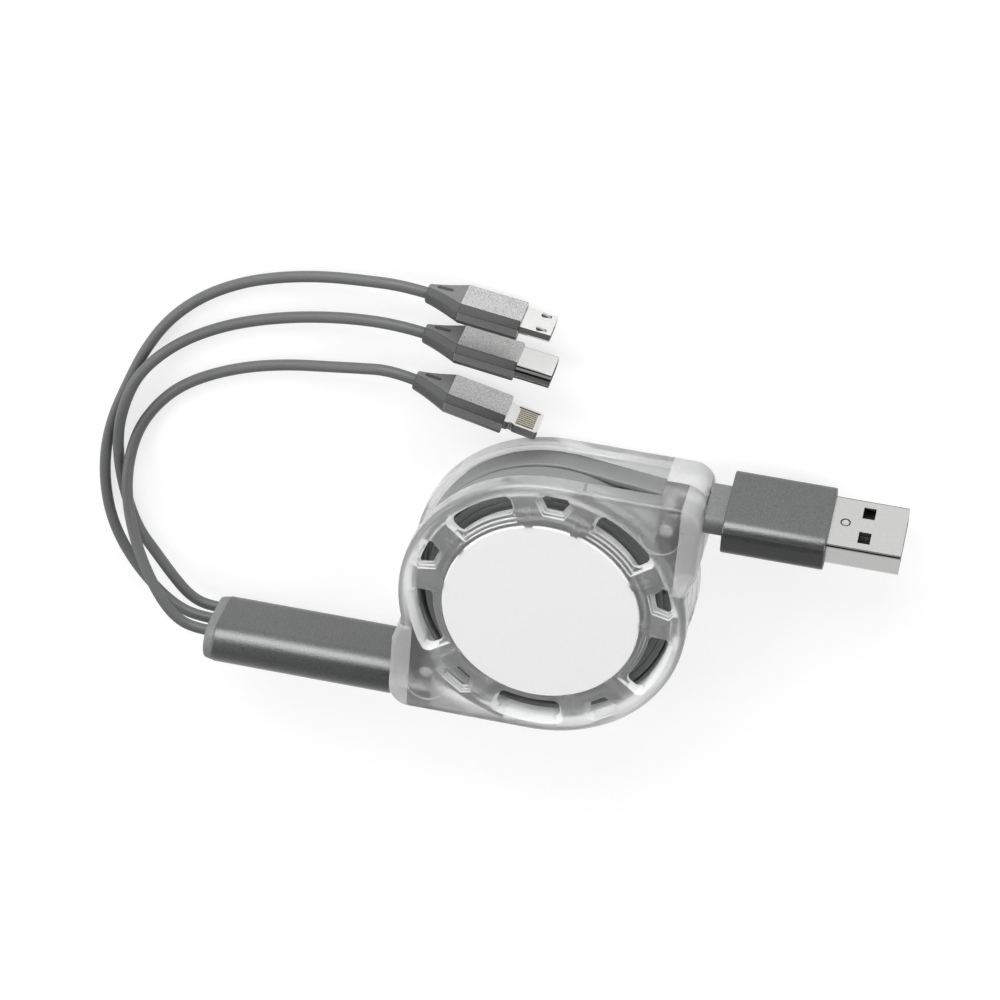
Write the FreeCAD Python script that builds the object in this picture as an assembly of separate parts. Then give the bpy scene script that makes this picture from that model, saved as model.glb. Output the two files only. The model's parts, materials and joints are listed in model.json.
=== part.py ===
"""Retractable three-in-one charging cable: a clear reel with a USB-A plug and three small plugs.

The reel lies flat on its rear cover. The origin is on the reel's axis at the rear face, +Z points
out of the front face, +X towards the USB-A plug, and the splitter is on the -X side.
Lengths are in millimetres and angles in degrees.
"""
import FreeCAD, Part
import math
import os

from FreeCAD import Placement, Rotation, Vector

# Reel housing
HOUSING_RADIUS = 25.4
HOUSING_THICKNESS = 17.2
EAR_PROUD = 0.5
EAR_DEPTH = 7.6
EAR_CORNER = 4.0
EAR_FOOT_SHARE = 0.453
EAR_FOOT_RADIUS = 2.0
EAR_ROOT_ANGLE = 16.3
EAR_ROOT_RADIUS = 3.0
PLATE_THICKNESS = 1.6
RIM_HEIGHT = 3.6
RIM_WALL = 1.05
EDGE_ROUNDING = 1.1

# Windows of the covers, in two patterns of five
WINDOW_COUNT = 5
SLOT_ANGLE = 52.0
SLOT_SPAN = 34.0
SLOT_MARGIN = 1.9
SLOT_WIDTH = 4.2
SLOT_CORNER = 1.3
SLOT_SLOPE = 0.8
SLOT_STEP_WIDTH = 0.6
SLOT_STEP_DEPTH = 0.5
SLOT_STEPS = 2
SLOT_COLLAR_DEPTH = 1.4
PORT_ANGLE = 88.0
PORT_MARGIN = 2.2
PORT_SHOULDER = 1.0
PORT_DEPTH = 2.9
PORT_INNER_WIDTH = 2.8
PORT_WIDTH = 5.0
PORT_OUTER_WIDTH = 3.6
PORT_STEP_WIDTH = 0.45
PORT_STEP_DEPTH = 0.45
PORT_STEPS = 2
RIB_ANGLE = 13.0
RIB_WIDTH = 1.3
RIB_SETBACK = 1.0
RIB_HEIGHT = 0.6

# Pins that join the covers in the ears, with a round mark on the face over each
PIN_INSET_X = 6.2
PIN_INSET_Y = 6.4
PIN_RADIUS = 1.2
PIN_LENGTH = 4.0
PIN_END_GAP = 0.2
PAD_INSET_X = 6.8
PAD_INSET_Y = 6.0
PAD_RADIUS = 3.5
PAD_DEPTH = 0.3
PRESS_CLEARANCE = 0.02

# Face disc and centre screw
DISC_MARGIN = 0.7
DISC_THICKNESS = 0.9
DISC_PROUD = 0.3
DISC_CLEARANCE = 0.08
DISC_EDGE = 0.2
SCREW_HEAD_RADIUS = 2.0
SCREW_HEAD_HEIGHT = 1.0
SCREW_RADIUS = 1.0
SCREW_LENGTH = 6.0
SCREW_CLEARANCE = 0.1
DRIVE_WIDTH = 0.5
DRIVE_LENGTH = 2.2
DRIVE_DEPTH = 0.5
SCREW_BOSS_RADIUS = 4.0
SCREW_BOSS_GAP = 1.0

# Spool, its post and its spring
POST_CORE_RADIUS = 3.0
RUNNING_CLEARANCE = 0.05
HUB_WALL = 1.2
WEB_THICKNESS = 1.7
TIER_CLEARANCE = 0.3
FLANGE_THICKNESS = 0.4
FLANGE_MARGIN = 0.2
SPRING_STRIP = 0.4
SPRING_HEIGHT = 6.5
SPRING_PACK = 1.6
SPRING_CLEARANCE = 0.2
SPRING_ARM_TURNS = 2

# Lock ball and its track
BALL_RADIUS = 1.0
BALL_CLEARANCE = 0.1
TRACK_RADIUS = 9.2
TRACK_DEPTH = 0.9
TRACK_POCKETS = 4
GUIDE_LENGTH = 8.0
GUIDE_WIDTH = 4.6
GUIDE_SLOT_LENGTH = 5.0

# Flat cable
CABLE_WIDTH = 5.0
CABLE_THICKNESS = 1.3
WINDING_DEPTH = 5.4
WINDING_CLEARANCE = 0.15
WINDING_GROOVE = 0.25
LEAD_GAP = 0.15
LEAD_WRAP = 338.0
LEAD_OVERRUN = 1.1
CAVITY_GAP = 0.7
MOUTH_MARGIN = 3.9
MOUTH_OFFSET = 2.0
MOUTH_CLEARANCE = 0.3

# USB-A plug, lying on edge and leaning a little on its own axis
PLUG_LEAN = 14.0
BOOT_LENGTH = 3.4
BOOT_WIDTH = 10.0
BOOT_THICKNESS = 4.0
BOOT_ROUNDING = 1.6
USB_SLEEVE_LENGTH = 17.6
USB_SLEEVE_WIDTH = 15.4
USB_SLEEVE_THICKNESS = 7.2
USB_SLEEVE_WALL = 0.7
USB_SLEEVE_ROUNDING = 2.4
USB_SLEEVE_INSET = 0.5
USB_SHELL_WIDTH = 12.0
USB_SHELL_THICKNESS = 4.5
USB_SHELL_WALL = 0.3
USB_SHELL_ROUNDING = 0.5
USB_SHELL_REACH = 12.6
USB_SHELL_GRIP = 5.0
USB_WINDOW_LENGTH = 2.1
USB_WINDOW_WIDTH = 2.6
USB_WINDOW_SPREAD = 2.9
USB_WINDOW_SETBACK = 5.5
USB_DIMPLE_RADIUS = 0.9
USB_DIMPLE_DEPTH = 0.15
USB_DIMPLE_SETBACK = 10.2
USB_TONGUE_THICKNESS = 1.9
USB_TONGUE_SETBACK = 0.4
USB_CONTACT_WIDTH = 1.0
USB_CONTACT_THICKNESS = 0.15
USB_CONTACT_LONG = 8.4
USB_CONTACT_SHORT = 7.4
USB_CONTACT_OUTER = 3.5
USB_CONTACT_INNER = 1.0
USB_CONTACT_SETBACK = 1.2

# Splitter
SPLITTER_OUTSET = 0.3
SPLITTER_LENGTH = 34.4
SPLITTER_WIDTH = 15.0
SPLITTER_THICKNESS = 7.8
SPLITTER_WALL = 0.7
SPLITTER_CAP = 1.8
SPLITTER_CAP_TAPER = 0.35
SPLITTER_CORE_INSET = 0.4
CORD_SPREAD = 3.8
CORD_DROP = 2.4

# Round cords and the three small plugs, lying on edge
CORD_DIAMETER = 2.0
CORD_ARC_SHARE = 0.45
CORD_EXIT_RUN = 3.1
CORD_ENTRY_RUN = 4.4
RELIEF_LENGTH = 6.3
RELIEF_END_WIDTH = 2.9
RELIEF_END_CHAMFER = 0.85
RELIEF_FLARE = 2.2
RELIEF_STEPS = 4
RELIEF_TIP_MARGIN = 0.05
RELIEF_SLOT_PLACE = 2.6
RELIEF_SLOT_LENGTH = 2.8
RELIEF_SLOT_WIDTH = 0.8
RELIEF_SLOT_DEPTH = 0.5
GRIP_LENGTH = 10.6
GRIP_WIDTH = 9.0
GRIP_THICKNESS = 3.8
GRIP_CHAMFER = 1.1
TIP_GRIP = 3.0
TIP_WALL = 0.25
LINER_SHARE = 0.5

MICRO_TIP_X = -4.15
MICRO_TIP_Y = 48.4
MICRO_TURN = -8.0
MICRO_REACH = 5.4
MICRO_WIDTH = 6.85
MICRO_THICKNESS = 1.8
MICRO_BEVEL = 0.7
MICRO_CONTACTS = 5
LATCH_WIDTH = 0.55
LATCH_LENGTH = 1.5
LATCH_HEIGHT = 0.3
LATCH_SPREAD = 2.35
LATCH_SETBACK = 1.1
LATCH_SLOPE = 20.0
LATCH_SLOT_MARGIN = 0.15

TYPE_C_TIP_X = -3.4
TYPE_C_TIP_Y = 40.25
TYPE_C_TURN = -8.5
TYPE_C_REACH = 6.2
TYPE_C_WIDTH = 8.34
TYPE_C_THICKNESS = 2.56
TYPE_C_CONTACTS = 12

EIGHT_TIP_X = -5.0
EIGHT_TIP_Y = 29.05
EIGHT_TURN = -13.0
EIGHT_REACH = 6.0
EIGHT_WIDTH = 6.7
EIGHT_THICKNESS = 1.5
EIGHT_NOSE_RADIUS = 0.7
EIGHT_CONTACTS = 8
EIGHT_CONTACT_PITCH = 0.62
EIGHT_CONTACT_WIDTH = 0.36
EIGHT_CONTACT_LENGTH = 3.2
EIGHT_CONTACT_SETBACK = 0.9
EIGHT_FIELD_DEPTH = 0.15
EIGHT_FIELD_MARGIN = 0.3
EIGHT_NOTCH_RADIUS = 0.7
EIGHT_NOTCH_SETBACK = 4.8

# Tolerances for picking edges and faces
SPOT_TOLERANCE = 0.01
FLAT_TOLERANCE = 0.001

# Values worked out from the sizes above
MID = HOUSING_THICKNESS / 2
FRONT_PLATE = HOUSING_THICKNESS - PLATE_THICKNESS
CAVITY_RADIUS = HOUSING_RADIUS - RIM_WALL
EAR_REACH = HOUSING_RADIUS + EAR_PROUD
EAR_FOOT = HOUSING_RADIUS * EAR_FOOT_SHARE
EAR_BLOCK_START = EAR_REACH - EAR_DEPTH
SLOT_OUTER = HOUSING_RADIUS - SLOT_MARGIN
SLOT_INNER = SLOT_OUTER - SLOT_WIDTH
PORT_OUTER = HOUSING_RADIUS - PORT_MARGIN
PORT_WIDEST = PORT_OUTER - PORT_SHOULDER
PORT_INNER = PORT_OUTER - PORT_DEPTH
RIB_REACH = PORT_WIDEST - RIB_SETBACK
PIN_X = EAR_REACH - PIN_INSET_X
PIN_Y = HOUSING_RADIUS - PIN_INSET_Y
PAD_X = EAR_REACH - PAD_INSET_X
PAD_Y = HOUSING_RADIUS - PAD_INSET_Y
SLOT_THROAT = SLOT_OUTER - SLOT_SLOPE
DISC_RADIUS = SLOT_INNER - SLOT_STEPS * SLOT_STEP_WIDTH - DISC_MARGIN
WINDING_RADIUS = CAVITY_RADIUS - CAVITY_GAP - CABLE_THICKNESS - LEAD_GAP
HUB_RADIUS = WINDING_RADIUS - WINDING_DEPTH
FLANGE_RADIUS = WINDING_RADIUS - FLANGE_MARGIN
MOUTH_Y = HOUSING_RADIUS - MOUTH_MARGIN
SPLITTER_Y = -MOUTH_Y - SPLITTER_OUTSET
DISC_SEAT = HOUSING_THICKNESS + DISC_PROUD - DISC_THICKNESS
REAR_TIER = PLATE_THICKNESS + TIER_CLEARANCE
FRONT_TIER = REAR_TIER + CABLE_WIDTH + 2 * WINDING_CLEARANCE + FLANGE_THICKNESS
SPOOL_TOP = FRONT_TIER + CABLE_WIDTH
WEB_BOTTOM = SPOOL_TOP - WEB_THICKNESS
SCREW_BOSS_BOTTOM = SPOOL_TOP + SCREW_BOSS_GAP
POST_TOP = SCREW_BOSS_BOTTOM - RUNNING_CLEARANCE
LEAD_RADIUS = WINDING_RADIUS + LEAD_GAP + CABLE_THICKNESS / 2
USB_TIER_Z = REAR_TIER + CABLE_WIDTH / 2
SPLITTER_TIER_Z = FRONT_TIER + CABLE_WIDTH / 2
USB_MOUTH_Z = MID - MOUTH_OFFSET
SPLITTER_MOUTH_Z = MID + MOUTH_OFFSET
BOOT_X = EAR_REACH
USB_SLEEVE_X = BOOT_X + BOOT_LENGTH
USB_SHELL_X = USB_SLEEVE_X + USB_SLEEVE_LENGTH
USB_TIP_X = USB_SHELL_X + USB_SHELL_REACH
CORD_EXIT_X = -EAR_REACH - SPLITTER_LENGTH
GRIP_HEIGHT = GRIP_WIDTH / 2
CORD_RADIUS = CORD_DIAMETER / 2
MICRO_PLACE = (MICRO_TIP_X, MICRO_TIP_Y, MICRO_TURN, MICRO_REACH)
TYPE_C_PLACE = (TYPE_C_TIP_X, TYPE_C_TIP_Y, TYPE_C_TURN, TYPE_C_REACH)
EIGHT_PLACE = (EIGHT_TIP_X, EIGHT_TIP_Y, EIGHT_TURN, EIGHT_REACH)
Z_AXIS = Vector(0, 0, 1)
X_AXIS = Vector(1, 0, 0)


def box(x0, y0, z0, x1, y1, z1):
    """Box between two corners."""
    return Part.makeBox(x1 - x0, y1 - y0, z1 - z0, Vector(x0, y0, z0))


def cylinder(radius, z0, z1, x=0.0, y=0.0):
    """Upright cylinder from height z0 to z1."""
    return Part.makeCylinder(radius, z1 - z0, Vector(x, y, z0))


def ring(inner, outer, z0, z1):
    """Upright tube wall round the reel's axis."""
    return cylinder(outer, z0, z1).cut(cylinder(inner, z0, z1))


def turned(shape, angle):
    """Copy of a shape, turned about the reel's axis."""
    copy = shape.copy()
    copy.rotate(Vector(0, 0, 0), Z_AXIS, angle)
    return copy


def opposite(shape):
    """Copy of a shape at the ear on the other side."""
    return turned(shape, 180)


def mirrored_front(shape):
    """Copy of a shape of the rear cover, mirrored about the parting plane to the front cover."""
    return shape.mirror(Vector(0, 0, MID), Z_AXIS)


def prism(points, z0, z1):
    """Upright prism on a closed polygon of (x, y) points."""
    corners = [Vector(x, y, z0) for x, y in points]
    face = Part.Face(Part.makePolygon(corners + corners[:1]))
    return face.extrude(Vector(0, 0, z1 - z0))


def upright_edges(shape, spots):
    """Upright edges of a shape that stand at the given (x, y) spots."""
    found = []
    for edge in shape.Edges:
        ends = [vertex.Point for vertex in edge.Vertexes]
        if len(ends) == 2 and abs(ends[0].z - ends[1].z) > SPOT_TOLERANCE:
            for x, y in spots:
                if math.hypot(ends[0].x - x, ends[0].y - y) < SPOT_TOLERANCE:
                    if math.hypot(ends[1].x - x, ends[1].y - y) < SPOT_TOLERANCE:
                        found.append(edge)
    return found


# Housing


def polar(radius, angle):
    """Point on the plan at a radius and an angle."""
    turn = math.radians(angle)
    return radius * math.cos(turn), radius * math.sin(turn)


def ear_outline():
    """Edges of one half of the housing's outline, from the right-hand ear's root to the far side."""
    root = polar(HOUSING_RADIUS, EAR_ROOT_ANGLE)
    far = (-root[0], -root[1])
    middle = polar(HOUSING_RADIUS, (90 + 180 + EAR_ROOT_ANGLE) / 2)
    corner = EAR_CORNER * (1 - math.sqrt(0.5))
    points = {
        "root": Vector(root[0], root[1], 0),
        "foot": Vector(EAR_REACH, EAR_FOOT, 0),
        "corner start": Vector(EAR_REACH, HOUSING_RADIUS - EAR_CORNER, 0),
        "corner": Vector(EAR_REACH - corner, HOUSING_RADIUS - corner, 0),
        "corner end": Vector(EAR_REACH - EAR_CORNER, HOUSING_RADIUS, 0),
        "top": Vector(0, HOUSING_RADIUS, 0),
        "middle": Vector(middle[0], middle[1], 0),
        "far": Vector(far[0], far[1], 0),
    }
    return [
        Part.LineSegment(points["root"], points["foot"]).toShape(),
        Part.LineSegment(points["foot"], points["corner start"]).toShape(),
        Part.Arc(points["corner start"], points["corner"], points["corner end"]).toShape(),
        Part.LineSegment(points["corner end"], points["top"]).toShape(),
        Part.Arc(points["top"], points["middle"], points["far"]).toShape(),
    ]


def housing_block():
    """Solid half of the housing, from the rear face to the parting plane, with rounded ears."""
    half = ear_outline()
    other = [opposite(edge) for edge in half]
    face = Part.Face(Part.Wire(half + other))
    block = face.extrude(Vector(0, 0, MID))
    root = polar(HOUSING_RADIUS, EAR_ROOT_ANGLE)
    feet = [(EAR_REACH, EAR_FOOT), (-EAR_REACH, -EAR_FOOT)]
    roots = [root, (-root[0], -root[1])]
    block = block.makeFillet(EAR_FOOT_RADIUS, upright_edges(block, feet))
    return block.makeFillet(EAR_ROOT_RADIUS, upright_edges(block, roots))


def bottom_face(shape):
    """Lowest flat face of a shape."""
    return min(shape.Faces, key=lambda face: face.CenterOfMass.z)


def ear_region():
    """Tall block that covers the closed part of the right-hand ear on the plan."""
    return box(EAR_BLOCK_START, EAR_FOOT - EAR_FOOT_RADIUS, 0, 2 * EAR_REACH, 2 * EAR_REACH, MID)


def mouth_channel(tier_height, mouth_height):
    """Straight channel through the right-hand ear, as tall as the slanting flat cable needs."""
    half_width = CABLE_WIDTH / 2 + MOUTH_CLEARANCE
    half_gap = CABLE_THICKNESS / 2 + MOUTH_CLEARANCE
    share = EAR_BLOCK_START / EAR_REACH
    start_height = tier_height + share * (mouth_height - tier_height)
    low, high = sorted((start_height, mouth_height))
    return box(
        0, MOUTH_Y - half_gap, low - half_width,
        2 * EAR_REACH, lead_line_at(EAR_BLOCK_START) + half_gap, high + half_width,
    )


def cover_shell():
    """Shell of the rear cover: plate, low rim, closed ears, post holes still solid."""
    block = housing_block()
    floor = bottom_face(block)
    inner = floor.makeOffset2D(-RIM_WALL).extrude(Vector(0, 0, MID))
    inner.translate(Vector(0, 0, PLATE_THICKNESS))
    rounded = block.makeFillet(EDGE_ROUNDING, floor.Edges)
    shell = rounded.cut(inner)
    fill = ear_region().common(inner).cut(cylinder(CAVITY_RADIUS, 0, MID))
    fill = fill.common(box(-HOUSING_RADIUS, 0, 0, 2 * EAR_REACH, 2 * EAR_REACH, MID))
    shell = shell.fuse([fill, opposite(fill)])
    above_rim = box(-2 * EAR_REACH, -2 * EAR_REACH, RIM_HEIGHT, 2 * EAR_REACH, 2 * EAR_REACH, MID)
    open_side = above_rim.cut([ear_region(), opposite(ear_region())])
    return shell.cut(open_side).removeSplitter()


def sector(inner, outer, angle, span, z0, z1):
    """Upright block between two circles round the reel's axis and two radial sides."""
    half = span / 2
    spots = [polar(inner, angle - half), polar(inner, angle + half)]
    spots += [polar(outer, angle + half), polar(outer, angle - half)]
    near, far = polar(inner, angle), polar(outer, angle)
    points = [Vector(x, y, z0) for x, y in spots]
    edges = [
        Part.Arc(points[0], Vector(near[0], near[1], z0), points[1]).toShape(),
        Part.LineSegment(points[1], points[2]).toShape(),
        Part.Arc(points[2], Vector(far[0], far[1], z0), points[3]).toShape(),
        Part.LineSegment(points[3], points[0]).toShape(),
    ]
    return Part.Face(Part.Wire(edges)).extrude(Vector(0, 0, z1 - z0)), spots


def slot_outline(outer, angle, span, z):
    """Wire of a slot's outline with rounded corners at a height."""
    block, spots = sector(SLOT_INNER, outer, angle, span, z, z + PLATE_THICKNESS)
    return bottom_face(block.makeFillet(SLOT_CORNER, upright_edges(block, spots))).OuterWire


def sloped_slot(angle):
    """Slot through the rear plate, narrowing from the face at its outer side and its two ends."""
    tight = SLOT_SPAN - 2 * math.degrees(SLOT_SLOPE / SLOT_OUTER)
    face_side = slot_outline(SLOT_OUTER, angle, SLOT_SPAN, 0)
    inside = slot_outline(SLOT_THROAT, angle, tight, PLATE_THICKNESS)
    return Part.makeLoft([face_side, inside], True, True)


def port(margin, angle, z0, z1):
    """Six-sided window at an angle, widened all round by a margin."""
    inner, outer = PORT_INNER - margin, PORT_OUTER + margin / 2
    narrow, wide = PORT_INNER_WIDTH / 2 + margin / 2, PORT_WIDTH / 2 + margin
    top = PORT_OUTER_WIDTH / 2 + margin / 2
    outline = [
        (inner, -narrow), (PORT_WIDEST, -wide), (outer, -top),
        (outer, top), (PORT_WIDEST, wide), (inner, narrow),
    ]
    return turned(prism(outline, z0, z1), angle)


def window_cuts():
    """Slots and ports through the rear plate, stepped down towards the inside from the face."""
    cuts = []
    for index in range(WINDOW_COUNT):
        turn = index * 360.0 / WINDOW_COUNT
        slot_angle, port_angle = SLOT_ANGLE + turn, PORT_ANGLE + turn
        cuts.append(sloped_slot(slot_angle))
        for step in range(1, SLOT_STEPS + 1):
            inner = SLOT_INNER - step * SLOT_STEP_WIDTH
            depth = (SLOT_STEPS + 1 - step) * SLOT_STEP_DEPTH
            middle = SLOT_INNER + SLOT_CORNER
            cuts.append(sector(inner, middle, slot_angle, SLOT_SPAN, 0, depth)[0])
        for step in range(PORT_STEPS + 1):
            depth = RIM_HEIGHT if step == 0 else (PORT_STEPS + 1 - step) * PORT_STEP_DEPTH
            cuts.append(port(step * PORT_STEP_WIDTH, port_angle, 0, depth))
    return cuts


def ribs():
    """Short ribs beside the ports, from the face disc outwards, standing off the front face."""
    inner = DISC_RADIUS + DISC_CLEARANCE
    half = RIB_WIDTH / 2
    rib = box(inner, -half, FRONT_PLATE, RIB_REACH, half, HOUSING_THICKNESS + RIB_HEIGHT)
    angles = []
    for index in range(WINDOW_COUNT):
        middle = PORT_ANGLE + index * 360.0 / WINDOW_COUNT
        angles += [middle - RIB_ANGLE, middle + RIB_ANGLE]
    outside = ring(inner, HOUSING_RADIUS, FRONT_PLATE, HOUSING_THICKNESS + RIB_HEIGHT)
    return [turned(rib, angle).common(outside) for angle in angles]


def slot_collar():
    """Collar under the front plate along the slots' inner edges."""
    width = SLOT_STEPS * SLOT_STEP_WIDTH
    return ring(SLOT_INNER - width, SLOT_INNER, FRONT_PLATE - SLOT_COLLAR_DEPTH, FRONT_PLATE)


def slot_skirt():
    """Deep wall inside the front rim along the slots' outer edges, clear of the flat cable."""
    bottom = SPOOL_TOP + 2 * TIER_CLEARANCE
    return ring(SLOT_THROAT, CAVITY_RADIUS + RIM_WALL / 2, bottom, FRONT_PLATE)


def front_cover():
    """Front cover: windows, ribs, seat for the face disc, screw boss, ball guide and post sockets."""
    shell = mirrored_front(cover_shell().cut(window_cuts()))
    boss = cylinder(SCREW_BOSS_RADIUS, SCREW_BOSS_BOTTOM, HOUSING_THICKNESS)
    guide_bottom = SPOOL_TOP + TIER_CLEARANCE
    guide = box(
        TRACK_RADIUS - GUIDE_LENGTH / 2, -GUIDE_WIDTH / 2, guide_bottom,
        TRACK_RADIUS + GUIDE_LENGTH / 2, GUIDE_WIDTH / 2, FRONT_PLATE,
    )
    shell = shell.fuse([boss, guide, slot_collar(), slot_skirt()] + ribs())
    slot_half = BALL_RADIUS + BALL_CLEARANCE
    slot_top = ball_height() + BALL_RADIUS + BALL_CLEARANCE
    ball_slot = box(
        TRACK_RADIUS - GUIDE_SLOT_LENGTH / 2, -slot_half, guide_bottom,
        TRACK_RADIUS + GUIDE_SLOT_LENGTH / 2, slot_half, slot_top,
    )
    seat = cylinder(DISC_RADIUS + DISC_CLEARANCE, DISC_SEAT, 2 * HOUSING_THICKNESS)
    head_seat = DISC_SEAT - SCREW_HEAD_HEIGHT - SCREW_CLEARANCE
    head = cylinder(SCREW_HEAD_RADIUS + SCREW_CLEARANCE, head_seat, DISC_SEAT)
    shank = cylinder(SCREW_RADIUS + SCREW_CLEARANCE, SCREW_BOSS_BOTTOM, DISC_SEAT)
    socket_top = MID + PIN_LENGTH + PIN_END_GAP
    socket = cylinder(PIN_RADIUS + PRESS_CLEARANCE, MID, socket_top, PIN_X, PIN_Y)
    pad = cylinder(PAD_RADIUS, HOUSING_THICKNESS - PAD_DEPTH, HOUSING_THICKNESS, PAD_X, PAD_Y)
    cuts = [ball_slot, seat, head, shank, socket, opposite(socket), pad, opposite(pad)]
    return shell.cut(cuts + mouths()).removeSplitter()


def rear_cover():
    """Rear cover: windows, slotted post for the spool and spring, and the pins in the ears."""
    shell = cover_shell().cut(window_cuts())
    post = cylinder(POST_CORE_RADIUS, PLATE_THICKNESS, POST_TOP)
    pin = cylinder(PIN_RADIUS, MID, MID + PIN_LENGTH, PIN_X, PIN_Y)
    shell = shell.cut(mouths()).fuse([post, pin, opposite(pin)])
    pilot = cylinder(SCREW_RADIUS, POST_TOP - SCREW_LENGTH, POST_TOP)
    half_slit = SPRING_STRIP / 2 + SPRING_CLEARANCE
    slit = box(0, -half_slit, PLATE_THICKNESS, POST_CORE_RADIUS, half_slit, WEB_BOTTOM)
    slit = slit.cut(cylinder(SCREW_RADIUS + RIM_WALL, PLATE_THICKNESS, WEB_BOTTOM))
    return shell.cut([pilot, slit]).removeSplitter()


def mouths():
    """Channels through both ears for the two ends of the flat cable."""
    ear = box(EAR_BLOCK_START - RIM_WALL, 0, 0, 2 * EAR_REACH, 2 * EAR_REACH, HOUSING_THICKNESS)
    usb_side = mouth_channel(USB_TIER_Z, USB_MOUTH_Z).common(ear)
    splitter_side = mouth_channel(SPLITTER_TIER_Z, SPLITTER_MOUTH_Z).common(ear)
    return [usb_side, opposite(splitter_side)]


def face_disc():
    """Plain disc in the front cover's seat, with its edge eased."""
    disc = cylinder(DISC_RADIUS, DISC_SEAT, DISC_SEAT + DISC_THICKNESS)
    top = max(disc.Faces, key=lambda face: face.CenterOfMass.z)
    return disc.makeChamfer(DISC_EDGE, top.Edges)


def centre_screw():
    """Pan-head screw under the face disc, in the rear cover's post."""
    head_bottom = DISC_SEAT - SCREW_HEAD_HEIGHT - SCREW_CLEARANCE
    head = cylinder(SCREW_HEAD_RADIUS, head_bottom, head_bottom + SCREW_HEAD_HEIGHT)
    shank = cylinder(SCREW_RADIUS, POST_TOP - SCREW_LENGTH, head_bottom)
    drive_bottom = head_bottom + SCREW_HEAD_HEIGHT - DRIVE_DEPTH
    arm = box(
        -DRIVE_LENGTH / 2, -DRIVE_WIDTH / 2, drive_bottom,
        DRIVE_LENGTH / 2, DRIVE_WIDTH / 2, DISC_SEAT,
    )
    return head.fuse(shank).cut([arm, turned(arm, 90)]).removeSplitter()


# Spool, spring and lock


def ball_height():
    """Height of the lock ball's centre, resting on the track's floor."""
    return SPOOL_TOP - TRACK_DEPTH + BALL_CLEARANCE / 2 + BALL_RADIUS


def spool():
    """Spool: hub, middle flange between the two tiers, web with the lock track and its pockets."""
    hub = ring(HUB_RADIUS - HUB_WALL, HUB_RADIUS, REAR_TIER, SPOOL_TOP)
    bore = POST_CORE_RADIUS + RUNNING_CLEARANCE
    web = ring(bore, HUB_RADIUS - HUB_WALL, WEB_BOTTOM, SPOOL_TOP)
    flange_bottom = REAR_TIER + CABLE_WIDTH + WINDING_CLEARANCE
    flange = ring(HUB_RADIUS, FLANGE_RADIUS, flange_bottom, flange_bottom + FLANGE_THICKNESS)
    half_track = BALL_RADIUS + BALL_CLEARANCE
    floor = SPOOL_TOP - TRACK_DEPTH
    track = ring(TRACK_RADIUS - half_track, TRACK_RADIUS + half_track, floor, SPOOL_TOP)
    pockets = []
    for index in range(TRACK_POCKETS):
        angle = (index + 0.5) * 360.0 / TRACK_POCKETS
        x, y = polar(TRACK_RADIUS - half_track, angle)
        pockets.append(cylinder(half_track, floor, SPOOL_TOP, x, y))
    return hub.fuse([web, flange]).cut([track] + pockets).removeSplitter()


def spring_arm(start, end, turns):
    """Strip of the spring in half circles that grow from the post to the outer pack."""
    halves = 2 * turns
    step = (end - start) / halves
    inner_edges, outer_edges = [], []
    centre, radius, side = 0.0, start, 1
    for _ in range(halves):
        for edges, reach in ((inner_edges, radius), (outer_edges, radius + SPRING_STRIP)):
            points = (
                Vector(centre + side * reach, 0, 0),
                Vector(centre, side * reach, 0),
                Vector(centre - side * reach, 0, 0),
            )
            edges.append(Part.Arc(*points).toShape())
        centre += side * step
        radius += step
        side = -side
    first = Part.LineSegment(inner_edges[0].Vertexes[0].Point, outer_edges[0].Vertexes[0].Point)
    last = Part.LineSegment(inner_edges[-1].Vertexes[1].Point, outer_edges[-1].Vertexes[1].Point)
    loop = inner_edges + [last.toShape()] + outer_edges + [first.toShape()]
    face = Part.Face(Part.Wire(Part.__sortEdges__(loop)))
    return face.extrude(Vector(0, 0, SPRING_HEIGHT))


def power_spring():
    """Spiral spring: turns packed against the hub, an arm that winds in, and a tang in the post."""
    outer = HUB_RADIUS - HUB_WALL - SPRING_CLEARANCE
    bottom = PLATE_THICKNESS + TIER_CLEARANCE
    pack = ring(outer - SPRING_PACK, outer, bottom, bottom + SPRING_HEIGHT)
    start = POST_CORE_RADIUS + SPRING_CLEARANCE
    arm = spring_arm(start, outer - SPRING_PACK - SPRING_STRIP / 2, SPRING_ARM_TURNS)
    arm.translate(Vector(0, 0, bottom))
    tang = box(
        SCREW_RADIUS + RIM_WALL + SPRING_CLEARANCE, -SPRING_STRIP / 2, bottom,
        start + SPRING_STRIP, SPRING_STRIP / 2, bottom + SPRING_HEIGHT,
    )
    return pack.fuse([arm, tang]).removeSplitter()


def lock_ball():
    """Ball that runs in the spool's track and in the guide of the front cover."""
    return Part.makeSphere(BALL_RADIUS, Vector(TRACK_RADIUS, 0, ball_height()))


# Flat cable


def winding(bottom, groove_height):
    """Wound turns of one tier as one ring, grooved between the turns on the side that shows."""
    inner = HUB_RADIUS + WINDING_CLEARANCE
    body = ring(inner, WINDING_RADIUS, bottom, bottom + CABLE_WIDTH)
    turns = int((WINDING_RADIUS - inner) / CABLE_THICKNESS)
    pitch = (WINDING_RADIUS - inner) / turns
    half = WINDING_GROOVE / 2
    grooves = []
    for index in range(1, turns):
        radius = inner + index * pitch
        grooves.append(ring(radius - half, radius + half, groove_height - half, groove_height + half))
    return body.cut(grooves)


def lead_slope():
    """Angle by which a lead's straight run slants in from the winding towards its mouth."""
    reach = math.hypot(EAR_REACH, MOUTH_Y)
    return math.degrees(math.atan2(EAR_REACH, MOUTH_Y) - math.acos(LEAD_RADIUS / reach))


def lead_line_at(x):
    """Y of the lead's centre line on its straight run, at a place along X."""
    return MOUTH_Y + (EAR_REACH - x) * math.tan(math.radians(lead_slope()))


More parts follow.
